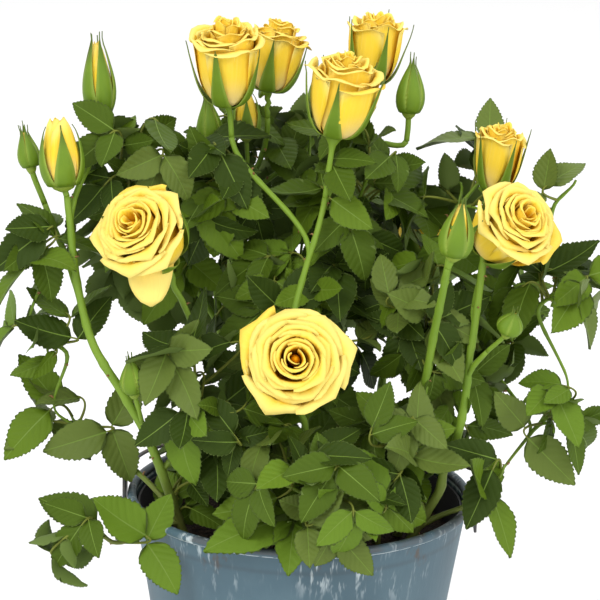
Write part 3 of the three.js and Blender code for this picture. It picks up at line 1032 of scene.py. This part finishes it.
def blocked(places, margin):
    """Whether a leaf here would cut or hide a flower, close a gap, or cut a stem, pot or soil."""
    middle, radius, facing, height = (np.array(part) for part in zip(*CLEAR))
    off = places[:, None, :] - middle

    def split(axis):
        ahead = (off * axis).sum(axis=2)
        return ahead, np.linalg.norm(off - ahead[..., None] * axis, axis=2)

    face_room = 60 * MM
    ahead, aside = split(facing)
    inside = (np.abs(ahead) < (height + margin) / 2) & (aside < radius + margin / 2)
    before = (ahead > 0) & (ahead < face_room) & (aside < radius * 0.85)
    # flowers and buds at the back may be hidden from the front
    back = 50 * MM
    ahead, aside = split(FRONT)
    hiding = (middle[:, 1] < back) & (ahead > 0) & (aside < radius * 0.9 + 3 * MM)
    if (inside | before | hiding).any() or in_gap(places):
        return True
    if (np.linalg.norm(places[:, None, :] - STEMS[0], axis=2) < STEM_ROOM).any():
        return True
    # the pot's bead and wall, then everything low inside the pot
    out = np.hypot(places[:, 0], places[:, 1])
    up = places[:, 2] - RIM.z
    bead = (out > RIM.x - 9 * MM) & (out < RIM.x + 2 * MM) & (up > -14 * MM) & (up < 2 * MM)
    return bool((bead | ((up < -10 * MM) & (out < RIM.x))).any())


def deal_tint(place, rng):
    """Dark leaves deep in the bush, as painted shade, and at its top; fresher ones on the outside
    low down.
    """
    top, fall = 0.245, 0.1
    core, shell_depth = 0.050, 0.050
    low = float(np.clip((top - place[2]) / fall, 0, 1))
    out = float(np.clip((math.hypot(place[0], place[1]) - core) / shell_depth, 0, 1))
    # deep and dark tints weigh more towards the middle as painted shade; the grey-green painted
    # sheen weighs more on the outside low down
    weights = [1.7 - 1.1 * out, 1.9 - 0.9 * out, 1.1, 0.55 + 0.45 * out * low,
               0.12 + out * (0.15 + 0.75 * low), 0.03 + 0.10 * out * low]
    return rng.choices(TOPS, weights)[0]


LEAF_ROOM = 820 * MM * MM  # of a mass's surface for each compound leaf
INNER_ROOM = 560 * MM * MM  # the same in the thick middle of the bush, low down
INNER_SIDE, INNER_TOP = 62 * MM, 0.215
BACK_FROM = 35 * MM  # a mass whose middle lies behind this turns its leaves to the back
RIM_LEAVES = 60
# a leaf of three leaflets that hangs over the rim at the front: its fork and its tips, in
# millimetres, the first leaflet the largest
FORK = np.array([-2, -64, 141]) * MM
TIPS = np.array([(-39, -77, 131), (-4, -85, 124), (14, -72, 136)]) * MM
# two corners of each leafy space outside the masses, in millimetres
BETWEEN = [((42, -28, 150), (88, 8, 206)), ((70, 0, 170), (100, 30, 215)),
           ((-60, -4, 226), (-24, 30, 270))]
CANES = len(nodes_named("cane_"))  # the first limbs in LIMBS


def grow_twigs(centre, half, outward):
    """A twig from the nearest limb through a mass, with an arm to each side; returns their points.

    An arm that would cross a gap is left out.
    """
    inner = centre - outward * half * 0.15 - np.array([0, 0, half[2] * 0.2])
    far = centre + outward * half * 0.35 + np.array([0, 0, half[2] * 0.4])
    heading = unit(far - inner)
    line, radii = fork(inner, heading, TWIG_FOOT)
    rest = bezier(inner, lerp(inner, far, 0.3), far - np.array([0, 0, 2 * MM]), far, 8)[1:]
    LIMBS.append(Limb([*line, *rest], [*radii, *np.linspace(0.9, 0.55, 7) * MM]))
    twigs = [rest, line[11:]]
    aside = np.cross(heading, (0.2, -0.3, 1.0))
    for hand in (-1, 1):
        tip = centre + unit(aside) * hand * half * 0.45 + outward * half * 0.1
        arm = bezier(inner, lerp(inner, far, 0.35), lerp(far, tip, 0.8), tip, 9)
        if in_gap(arm[4:]):
            continue
        LIMBS.append(Limb(arm, np.linspace(0.85, 0.5, 9) * MM))
        twigs.append(arm[2:])
    return np.concatenate(twigs)


def within(low, high, spot, wanted, facing, length, rng):
    """A heading near the wanted one, in the leaf's plane, whose leaf best stays in the box."""
    best = None
    for _ in range(8):
        turned_off = wanted + np.array([rng.gauss(0, 0.4) for _ in range(3)])
        heading = unit(turned_off - facing * (turned_off @ facing))
        ends = spot + np.outer([0.55, -0.8], heading * length)
        over = np.maximum(ends - high, 0).sum() + np.maximum(low - ends, 0).sum()
        if best is None or over < best[0]:
            best = (over, heading)
        if over < 3 * MM:
            break
    return best[1]


def fill_mass(node, finishes):
    """A mass's own twigs and leaves, in its place."""
    gather = Gather()
    fill_space(gather, *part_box(node), random.Random(node))
    gather.build(node.replace("mass", "leaves"), finishes, replaced=[node])


def rounded_area(half):
    """About the surface of an ellipsoid with these three half widths."""
    power = 1.6
    pairs = (half[0] * half[1], half[0] * half[2], half[1] * half[2])
    return 4 * math.pi * (sum(pair ** power for pair in pairs) / 3) ** (1 / power)


def kept_inside(low, high, spot, heading, facing, length):
    """The leaf's place, moved so that its four ends lie between the corners."""
    across = np.cross(heading, facing)
    ends = [heading * 0.5, heading * -0.8, across * 0.65 - heading * 0.4,
            across * -0.65 - heading * 0.4]
    ends = spot + np.array(ends) * length
    return spot + np.maximum(low - ends.min(axis=0), 0) - np.maximum(ends.max(axis=0) - high, 0)


def fill_space(gather, low, high, rng):
    """Twigs in the space between two corners, and leaves laid over an ellipsoid inside it."""
    low, high = np.array(low), np.array(high)
    centre, half = (low + high) / 2, (high - low) / 2
    side = 1 if centre[1] > BACK_FROM else -1
    outward = unit(centre * (1, 1, 0) + np.array([0, side * 35 * MM, 10 * MM]))
    twigs = grow_twigs(centre, half, outward)
    inner = abs(centre[0]) < INNER_SIDE and centre[2] < INNER_TOP
    count = max(6, round(rounded_area(half) / (INNER_ROOM if inner else LEAF_ROOM)))
    for i in range(count):
        # way runs in an even spiral over a ball, and out points off the ellipsoid there
        z = 1 - 2 * (i + 0.5) / count
        angle = i * GOLDEN + rng.uniform(-0.4, 0.4) + centre[0] * 40
        ring = math.sqrt(1 - z * z)
        way = np.array([ring * math.cos(angle), ring * math.sin(angle), z])
        out = unit(way / half)
        if out @ outward < -0.4 and rng.random() < 0.6:
            continue  # fewer leaves towards the middle of the bush
        spot = centre + way * half * rng.uniform(0.74, 0.98)
        jitter = np.array([rng.gauss(0, 1) for _ in range(6)])
        facing = unit(out * 0.75 + np.array([0, side * 0.45, 0.5]) + jitter[:3] * 0.22)
        stem = nearest(twigs, spot - out * 20 * MM)
        length = rng.uniform(19, 30) * MM
        wanted = unit(spot - stem) + np.array([0, 0, -0.35])
        heading = within(low, high, spot, wanted, facing, length, rng)
        spot = kept_inside(low, high, spot, heading, facing, length)
        compound_leaf(gather, stem, spot, heading, facing, length, rng.choice((1, 2, 2, 3)),
                      deal_tint(spot, rng), rng)


def fill_between(finishes):
    """Leaves between the canes, where the masses leave room for a shoot to carry them."""
    gather = Gather()
    rng = random.Random(12)
    for low, high in BETWEEN:
        fill_space(gather, np.array(low) * MM, np.array(high) * MM, rng)
    gather.build("leaves_between_canes", finishes)


def fill_rim(finishes):
    """Low leaves inside the rim, each on its stalk from the nearest cane, over the soil."""
    rng = random.Random(31)
    gather = Gather()
    canes = np.concatenate([limb.path for limb in LIMBS[:CANES]])
    canes = canes[(canes[:, 2] > RIM.z - 12 * MM) & (canes[:, 2] < RIM.z + 45 * MM)]
    for i in range(RIM_LEAVES):
        out = (RIM.x - 16 * MM) * math.sqrt((i + 0.5) / RIM_LEAVES)
        angle = i * GOLDEN
        up = RIM.z + rng.uniform(-3, 24) * MM
        spot = np.array([out * math.cos(angle), out * math.sin(angle), up])
        stem = nearest(canes, spot - np.array([0, 0, 8 * MM]))
        facing = unit(np.array([rng.gauss(0, 0.25), rng.gauss(-0.55, 0.25), 0.8]))
        wanted = spot - stem + np.array([rng.gauss(0, 4), rng.gauss(-5, 4), 0]) * MM
        heading = unit(wanted - facing * (wanted @ facing))
        compound_leaf(gather, stem, spot, heading, facing, rng.uniform(15, 25) * MM,
                      rng.choice((1, 1, 2)), deal_tint(spot, rng), rng)
    hang_leaf_over_rim(gather, canes, rng)
    gather.build("leaves_inside_rim", finishes)


def hang_leaf_over_rim(gather, canes, rng):
    """The leaf of three leaflets at the front, on its stalk from the nearest cane."""
    steps = 14
    stem = nearest(canes, FORK)
    rising = lerp(stem, FORK, 0.3) + [0, 0, 6 * MM]
    stalk = bezier(stem, rising, FORK + [0, 8 * MM, 3 * MM], FORK, steps)
    tube(gather, stalk, np.linspace(0.9, 0.5, steps) * MM, RACHIS, 5)
    facing = np.array([0, -0.5, 0.85])
    for tip in TIPS:
        way = (tip - FORK) + [0, 0, 5 * MM]
        leaflet(gather, FORK, way, facing, np.linalg.norm(tip - FORK), RIM_TINT, rng)


# ---- flowers ----

PETAL_UP = np.linspace(0, 1, 12)  # the rows of a petal, from its foot to its lip
PETAL_ACROSS = np.linspace(-1, 1, 11)  # the points of a row


def spun(rows, phase):
    """Rows of points turned about a flower's own axis."""
    c, s = math.cos(phase), math.sin(phase)
    return np.array(rows) @ np.array([[c, -s, 0], [s, c, 0], [0, 0, 1]]).T


def petal_rows(rank, phase, radius, height, openness, rng):
    """One petal's surface as rows of points from foot to lip, in the flower's own frame.

    rank is 0 at the heart and 1 for the outermost petal. The petal rises as a bowl up to its
    shoulder and rolls out over a lip whose middle is drawn to a point.
    """
    spread = rank ** lerp(1.05, 0.78, openness)
    shoulder_out = radius * lerp(0.10, lerp(0.90, 0.78, openness), spread)
    shoulder_out *= rng.uniform(0.95, 1.04)
    shoulder_up = height * lerp(0.98, lerp(0.86, 0.64, openness), rank ** 1.3)
    shoulder_up *= rng.uniform(lerp(0.90, 0.96, openness), 1.04)
    foot = radius * lerp(0.03, 0.20, rank)
    lip = radius * lerp(0.035, lerp(0.15, 0.25, openness), rank ** 1.1) * rng.uniform(0.7, 1.2)
    ruffle = height * lerp(0.055, 0.012, openness)
    arc = lerp(1.55, lerp(1.05, 0.78, openness), rank ** 0.7)
    flat = lerp(1.0, 1.30, rank * openness)
    fall = rng.uniform(0.15, 0.7) * lerp(0.35, 1.0, openness)
    point = rng.uniform(0.05, 0.09)
    tuck = radius * 0.05 * rng.uniform(0.6, 1.3)
    ripple, sway = rng.uniform(0, ANY_TURN), rng.uniform(-0.12, 0.12)
    rows = []
    for v in PETAL_UP:
        row = []
        for u in PETAL_ACROSS:
            # w is the way up: less at the rounded sides and more at the drawn point
            w = v * (1 - 0.17 * abs(u) ** 2.4 + point * max(0, 1 - abs(u) * 3.2))
            # bowl is 1 from the shoulder on, and curl runs from there to the lip
            bowl = min(w / 0.76, 1)
            curl = max(0.0, (w - 0.70) / 0.30)
            belly = math.sin(bowl * math.pi / 2) ** lerp(0.8, 0.62, rank)
            out = foot + (shoulder_out - foot) * belly
            out += radius * 0.05 * (1 - openness) * math.sin(math.pi * bowl)
            up = shoulder_up * bowl ** lerp(1.15, 1.45, rank)
            out += lip * (0.2 * curl + 0.8 * curl ** 1.6)
            up += lip * (0.30 * curl - fall * curl ** 2.4)
            # the corners of the lip roll out and down further than its middle
            corner = max(0.0, abs(u) - 0.35) ** 1.5 * float(smooth(0.45, 1.0, w))
            out += lip * corner
            up -= lip * fall * 0.9 * corner
            up += ruffle * math.sin(4.7 * u + ripple * 2) * float(smooth(0.6, 1.0, w))
            # the petal curves round the flower at the radius wrap, broader towards its lip
            wrap = max(out, radius * 0.10) * flat
            broad = 0.42 + 0.58 * math.sin(min(w / 0.6, 1) * math.pi / 2)
            angle = max(-2.4, min(2.4, (u + sway * w) * arc / flat * broad))
            out_here = out - wrap * (1 - math.cos(angle)) - tuck * u * w
            flutter = radius * 0.022 * math.sin(4.3 * u + 3 * v + ripple) * w * (0.3 + rank)
            row.append((out_here + flutter, wrap * math.sin(angle), up + flutter))
        rows.append(row)
    return spun(rows, phase)


def shell(gather, rows, thickness, mark, to_world, rank=0.0):
    """A closed thin shell on rows of points; its outer side has 1 added to its rank."""
    down, count = rows.shape[:2]
    run = np.gradient(rows, axis=0)
    cross = np.gradient(rows, axis=1)
    normal = np.cross(cross, run)
    normal /= np.maximum(np.linalg.norm(normal, axis=2, keepdims=True), 1e-12)
    u, v = np.meshgrid(np.linspace(0, 1, count), np.linspace(0, 1, down))
    thin = 0.30 + 0.70 * np.sin(np.pi * np.clip(u, 0.04, 0.96)) * (1 - 0.7 * v)
    offset = normal * (thickness / 2 * thin)[..., None]
    points = np.concatenate([(rows - offset).reshape(-1, 3), (rows + offset).reshape(-1, 3)])
    total = down * count
    faces = []
    for i in range(down - 1):
        for j in range(count - 1):
            a, b = i * count + j, i * count + j + 1
            c, d = b + count, a + count
            faces.append((d, c, b, a))
            faces.append((a + total, b + total, c + total, d + total))
    rim = list(range(count))
    rim += [i * count + count - 1 for i in range(1, down)]
    rim += [(down - 1) * count + j for j in range(count - 2, -1, -1)]
    rim += [i * count for i in range(down - 2, 0, -1)]
    for a, b in zip(rim, rim[1:] + rim[:1]):
        faces.append((a, b, b + total, a + total))
    flat = np.stack([u.ravel(), v.ravel()], axis=1)
    both = np.tile(flat, (2, 1))
    atlas = [both[i] for face in faces for i in face]
    ranks = np.repeat([rank, rank + 1.0], total)
    gather.add(to_world(points), faces, mark, both, ranks, atlas)


def frame_at(place, facing, spin):
    """A function that carries points from a flower's own frame to the scene's."""
    turn = Vector((0, 0, 1)).rotation_difference(Vector(facing)) @ Quaternion((0, 0, 1), spin)
    matrix = np.array(turn.to_matrix())
    return lambda points: np.asarray(points) @ matrix.T + np.asarray(place)


PETAL, SEPAL = 0, 1
PETAL_THICK = 0.42 * MM
LET_GO = 3.0  # the rank of a petal that has let go
SEPALS = 5


def sepal(gather, to_world, phase, profile, width, length, lift):
    """A green strip, broad at its foot and drawn to a thin tip, on the outside of a profile."""
    rows = []
    for v in np.linspace(0, 1, 13):
        out, up = profile(v * length)
        away = lift * float(smooth(0.45, 1.0, v)) ** 1.5
        half = width * max(0.03, (1 - v) ** 1.7 * (0.80 + 1.6 * v))
        wrap = max(out, 1.2 * MM)
        row = []
        for u in np.linspace(-1, 1, 5):
            angle = u * min(half / wrap, 1.3)
            keel = 0.25 * MM * (1 - abs(u))
            row.append((out - wrap * (1 - math.cos(angle)) + away + keel + 0.3 * MM,
                        wrap * math.sin(angle), up))
        rows.append(row)
    shell(gather, spun(rows, phase), 0.45 * MM, SEPAL, to_world)


# the way each flower faces and how far it has opened (1 is wide open)
FLOWERS = {
    "front": ((0.04, -0.93, 0.36), 1.0), "left": ((-0.4, -0.7, 0.6), 0.85),
    "right": ((0.45, -0.62, 0.62), 0.85), "right_small": ((0.1, -0.12, 1), 0.25),
    "top_centre": ((0.14, -0.12, 1), 0.45), "top_left": ((-0.02, -0.2, 1), 0.6),
    "top_back": ((0.16, 0.14, 1), 0.7), "top_right": ((0.08, 0, 1), 0.2),
    "back_left": ((-0.35, 0.7, 0.62), 0.8), "back_right": ((0.3, 0.82, 0.5), 0.95),
}


def measured(node, facing):
    """(middle, radius, height) of a flower's solid along and across the way it faces."""
    cloud = vertices_of(node)
    side = unit(np.cross(facing, (0.2, 0.9, 0.3)))
    other = np.cross(facing, side)
    middle, spans = np.zeros(3), []
    for axis in (facing, side, other):
        reach = cloud @ axis
        middle += axis * (reach.max() + reach.min()) / 2
        spans.append(reach.max() - reach.min())
    return middle, (spans[1] + spans[2]) / 4, spans[0]


def make_flower(name, finishes):
    """Petals in a spiral round a heart, five sepals under them; fewer petals in a shut flower."""
    node = f"flower_{name}"
    facing, openness = FLOWERS[name]
    facing = unit(np.array(facing))
    middle, radius, height = measured(node, facing)
    CLEAR.append((middle, radius, facing, height))
    rng = random.Random(node)
    to_world = frame_at(middle - facing * height * 0.5, facing, rng.uniform(0, ANY_TURN))
    gather = Gather()
    count = int(17 + 15 * openness)
    for i in range(count):
        rank = i / (count - 1)
        phase = i * GOLDEN + rng.uniform(-0.2, 0.2)
        rows = petal_rows(rank, phase, radius * 0.96, height, openness, rng)
        shell(gather, rows, PETAL_THICK, PETAL, to_world, rank)

    def outside(reach):
        """The outermost petals' profile, followed a little outside."""
        t = min(reach / height, 1.2)
        bowl = min(t / lerp(0.80, 0.60, openness), 1)
        out = lerp(0.20, lerp(0.90, 0.80, openness), math.sin(bowl * math.pi / 2) ** 0.62)
        up = lerp(0.90, 0.66, openness) * bowl ** 1.45 + max(0, t - 0.75) * (1 - openness)
        return radius * out + 0.5 * MM, height * min(up, 1.02) - 0.3 * MM

    for k in range(SEPALS):
        phase = k * 2 * math.pi / SEPALS + 0.4
        sepal(gather, to_world, phase, outside, radius * 0.31,
              height * lerp(0.98, 0.66, openness) * rng.uniform(0.85, 1.1),
              radius * rng.uniform(0.02, 0.2) * (1 - 0.6 * openness))
    heart = to_world(np.outer(np.array([0.05, 0.35, 0.65, 0.86]) * height, (0, 0, 1)))
    tube(gather, heart, np.array([0.04, 0.11, 0.10, 0.03]) * radius, PETAL, 10)
    if name == "left":
        hanging_petal(gather, middle, facing, radius)
    gather.build(f"bloom_{name}", finishes, replaced=[node])


def hanging_petal(gather, middle, facing, radius):
    """An outer petal that has let go and hangs below its flower, its inner side to the front."""
    below = unit(np.array([0.25, 0, -1]) + facing * 0.35)
    start = middle + below * radius * 0.45 - facing * 3 * MM
    tip = middle + below * radius * 1.42 + facing * 2 * MM
    hump = tip - below * 9 * MM + facing * 5 * MM
    line = bezier(start, start + facing * 6 * MM, hump, tip, len(PETAL_UP))
    rows = []
    for v, place in zip(PETAL_UP, line):
        half = radius * 0.50 * (1 - v ** 2.4) ** 0.7 * (0.72 + 0.45 * v) + 0.4 * MM
        rows.append([
            place + np.array([1, 0, 0.1]) * u * half - facing * u * u * half * 0.45
            for u in PETAL_ACROSS
        ])
    shell(gather, np.array(rows), PETAL_THICK, PETAL, np.asarray, LET_GO)


# ---- buds ----

# how far each bud has opened (0 is shut and green), the length of its head in millimetres, and
# how far its sepals' tips stand away
BUDS = {
    "left_tall": (0.5, 35, 0.5), "left_open": (0.95, 29, 0.35), "left_small": (0.15, 19, 0.3),
    "right_green": (0.22, 26, 0.1), "right_front": (0.35, 26, 0.1), "back": (0.4, 28, 0.3),
}
# small side buds: the foot of the stalk, the middle of the head, its radius and its length, all
# in millimetres, and how far it has opened
SIDE_BUDS = [
    ((76, -38, 206), (85, -45, 221), 5.0, 12, 0.1),
    ((-66, -48, 175), (-70, -53, 197), 4.8, 18, 0.1),
    ((-40, 30, 262), (-43, 28, 287), 5.2, 24, 0.15),
    ((-26, 32, 266), (-27, 32, 288), 6.0, 20, 0.9),
]


BUD_PETALS = 7


def bud_head(gather, base, facing, radius, length, opened, tips, rng):
    """Furled petals in a spindle, wrapped by five sepals whose thin tips reach its top."""
    to_world = frame_at(base, facing, rng.uniform(0, ANY_TURN))
    petals = length * lerp(0.74, 0.98, opened)

    def spindle(reach):
        t = reach / petals
        full = math.sin(math.pi * (0.12 + 0.86 * min(t, 1)) ** lerp(0.66, 0.80, opened))
        out = radius * max(full, 0.0) ** lerp(0.95, 0.62, opened)
        return max(out, 0.5 * MM), reach

    for i in range(BUD_PETALS):
        turn = i * GOLDEN
        rows = []
        for v in PETAL_UP:
            out, up = spindle(v * petals * 0.97)
            out *= 0.80 + 0.02 * i
            out += opened * radius * 0.2 * float(smooth(0.6, 1, v)) * i / (BUD_PETALS - 1)
            row = []
            for u in PETAL_ACROSS:
                angle = turn + u * 1.30
                inset = 1 - 0.07 * (u + 1)
                top = up * (1 - 0.12 * u * u * v + 0.03 * max(0, 1 - abs(u) * 3) * v)
                row.append((out * inset * math.cos(angle), out * inset * math.sin(angle), top))
            rows.append(row)
        shell(gather, np.array(rows), 0.35 * MM, PETAL, to_world, 0.35 + 0.05 * i)
    for k in range(SEPALS):
        sepal(gather, to_world, k * 2 * math.pi / SEPALS, spindle,
              math.pi * radius / SEPALS * lerp(1.75, 1.0, opened),
              length * lerp(1.0, 0.92, opened) * rng.uniform(0.92, 1.04),
              radius * tips * rng.uniform(0.2, 1.1))
    cup = [base - facing * 3.0 * MM, base - facing * 1.6 * MM, base + facing * 0.4 * MM,
           base + facing * 2.2 * MM]
    tube(gather, cup, [1.3 * MM, radius * 0.46, radius * 0.62, radius * 0.50], SEPAL, 14)


def make_bud(name, finishes):
    """A bud in its solid's place, and its stalk from the nearest limb."""
    node = f"bud_{name}"
    opened, length, tips = BUDS[name]
    cloud = vertices_of(node)
    tip = cloud[cloud[:, 2].argmax()]
    foot = cloud[cloud[:, 2] < cloud[:, 2].min() + 2 * MM].mean(axis=0)
    head = cloud[cloud[:, 2] > cloud[:, 2].max() - length * 0.8 * MM].mean(axis=0)
    facing = unit(tip - head)
    base = tip - facing * length * MM
    near = cloud[np.linalg.norm(cloud - head, axis=1) < length * 0.5 * MM]
    off = near - head
    radius = np.linalg.norm(off - np.outer(off @ facing, facing), axis=1).max() * 0.95
    rng = random.Random(node)
    gather = Gather()
    bud_head(gather, base, facing, radius, length * MM, opened, tips, rng)
    CLEAR.append((head, radius * 1.1, facing, length * MM))
    if name == "left_open":  # the bud at the left cane's own end
        foot = min((limb.path[-1] for limb in LIMBS), key=lambda end: np.linalg.norm(end - base))
    else:
        LIMBS.append(Limb(*fork(foot, unit(base - foot), BUD_STALK)))
    gap = np.linalg.norm(base - foot)
    line = bezier(foot, foot + (base - foot) * 0.35, base - facing * gap * 0.35, base, 10)
    LIMBS.append(Limb(line, np.full(len(line), BUD_STALK)))
    gather.build(f"rosebud_{name}", finishes, replaced=[node])


def make_side_buds(finishes):
    """The small buds that stand on side shoots, in one piece."""
    rng = random.Random(5)
    gather = Gather()
    for foot, middle, radius, length, opened in SIDE_BUDS:
        foot, middle = np.array(foot) * MM, np.array(middle) * MM
        facing = unit(middle - foot + np.array([0, 0, 12 * MM]))
        base = middle - facing * length * 0.42 * MM
        bud_head(gather, base, facing, radius * MM, length * MM, opened, 0.2, rng)
        CLEAR.append((middle, radius * MM, facing, length * MM))
        LIMBS.append(Limb(*fork(foot, unit(base - foot), SIDE_STALK)))
        line = bezier(foot, lerp(foot, base, 0.4), base - facing * 3 * MM, base, 8)
        LIMBS.append(Limb(line, np.full(len(line), SIDE_STALK)))
    gather.build("rosebuds_small", finishes)


def add_stump(gather):
    """A cane pruned short, with its pale cut end."""
    foot, top = np.array([(33, -20, 112), (33.5, -20.5, 138)]) * MM
    radius, cut = 2.0 * MM, 0.4 * MM
    tube(gather, resampled([foot, top], 6), np.full(6, radius), BARK, 12)
    tube(gather, [top, top + unit(top - foot) * cut], [1.9 * MM, 1.7 * MM], CUT, 12)


# ---- assembling the plant ----

def make_plant():
    """Flowers, limbs and buds first, then the leaves that keep clear of them, then the wood."""
    flower_finishes = [petal_finish(), sepal_finish()]
    for name in FLOWERS:
        make_flower(name, flower_finishes)
    grow_canes()
    grow_stalks()
    for name in BUDS:
        make_bud(name, flower_finishes)
    make_side_buds(flower_finishes)
    finishes = [leaf_finish(name, *look) for name, look in LEAF_TINTS.items()]
    finishes += [
        plain_tint("leaf underside", (0.12, 0.18, 0.035), 0.6),
        plain_tint("leaf midrib", (0.15, 0.24, 0.030), 0.5),
        plain_tint("leaf stalk", (0.17, 0.20, 0.025), 0.5),
    ]
    STEMS.append(np.concatenate([resampled(limb.path, 60) for limb in LIMBS]))
    for node in nodes_named("mass_"):
        fill_mass(node, finishes)
    fill_between(finishes)
    fill_rim(finishes)
    wood = Gather()
    draw_limbs(wood, random.Random(9))
    add_stump(wood)
    limbs = nodes_named("cane_", "stalk_")
    prickle = plain_tint("prickle", (0.30, 0.16, 0.06), 0.45)
    cut = plain_tint("pale cut wood", (0.62, 0.52, 0.30), 0.7)
    wood.build("canes_and_stalks", [green_bark(), prickle, cut],
               replaced=limbs, atlas=False)


# ---- studio ----

def make_studio():
    """A pale floor just under the pot, a white world and three soft lamps."""
    deselect()
    bpy.ops.mesh.primitive_plane_add(size=12, location=(0, 0, -0.0002))
    floor = bpy.context.object
    floor.name = "floor"
    paper = Finish("pale floor", Base_Color=(0.9, 0.9, 0.9, 1), Roughness=0.9)
    floor.data.materials.append(paper.material)
    world = bpy.data.worlds.new("studio")
    bpy.context.scene.world = world
    world.use_nodes = True
    world.node_tree.nodes["Background"].inputs["Color"].default_value = (1, 1, 1, 1)
    world.node_tree.nodes["Background"].inputs["Strength"].default_value = 1.0
    for place, size, power in (
        ((-0.9, -1.3, 1.5), 0.7, 13), ((1.2, -0.9, 1.1), 0.9, 7), ((0.2, 1.2, 1.6), 1.0, 5),
    ):
        lamp = bpy.data.lights.new("soft box", "AREA")
        lamp.size = size
        lamp.energy = power
        made = bpy.data.objects.new("soft box", lamp)
        bpy.context.collection.objects.link(made)
        made.location = place
        aim = Vector((0, 0, 0.2)) - made.location
        made.rotation_euler = aim.to_track_quat("-Z", "Y").to_euler()


def make_camera():
    """A long lens a little over a metre away, looking down at the rim at twenty degrees."""
    distance, elevation = 1.2, math.radians(19.76)
    down, pan, roll = math.radians(15.83), math.radians(0.10), math.radians(1.29)
    data = bpy.data.cameras.new("camera")
    data.lens = 165.4
    data.sensor_width = 36
    camera = bpy.data.objects.new("camera", data)
    bpy.context.collection.objects.link(camera)
    camera.location = (0, -distance * math.cos(elevation), RIM.z + distance * math.sin(elevation))
    turn = Matrix.Rotation(pan, 4, "Z") @ Matrix.Rotation(math.pi / 2 - down, 4, "X")
    camera.matrix_world = (
        Matrix.Translation(camera.location) @ turn @ Matrix.Rotation(roll, 4, "Z")
    )
    bpy.context.scene.camera = camera
    bpy.context.scene.view_settings.view_transform = "Standard"


RIM = corners("pot")[1]
POT_HEIGHT = RIM.z
STEEL = dull_steel()
make_pot()
make_liner()
make_soil()
make_ear("left")
make_ear("right")
make_bail()
make_plant()
make_studio()
make_camera()
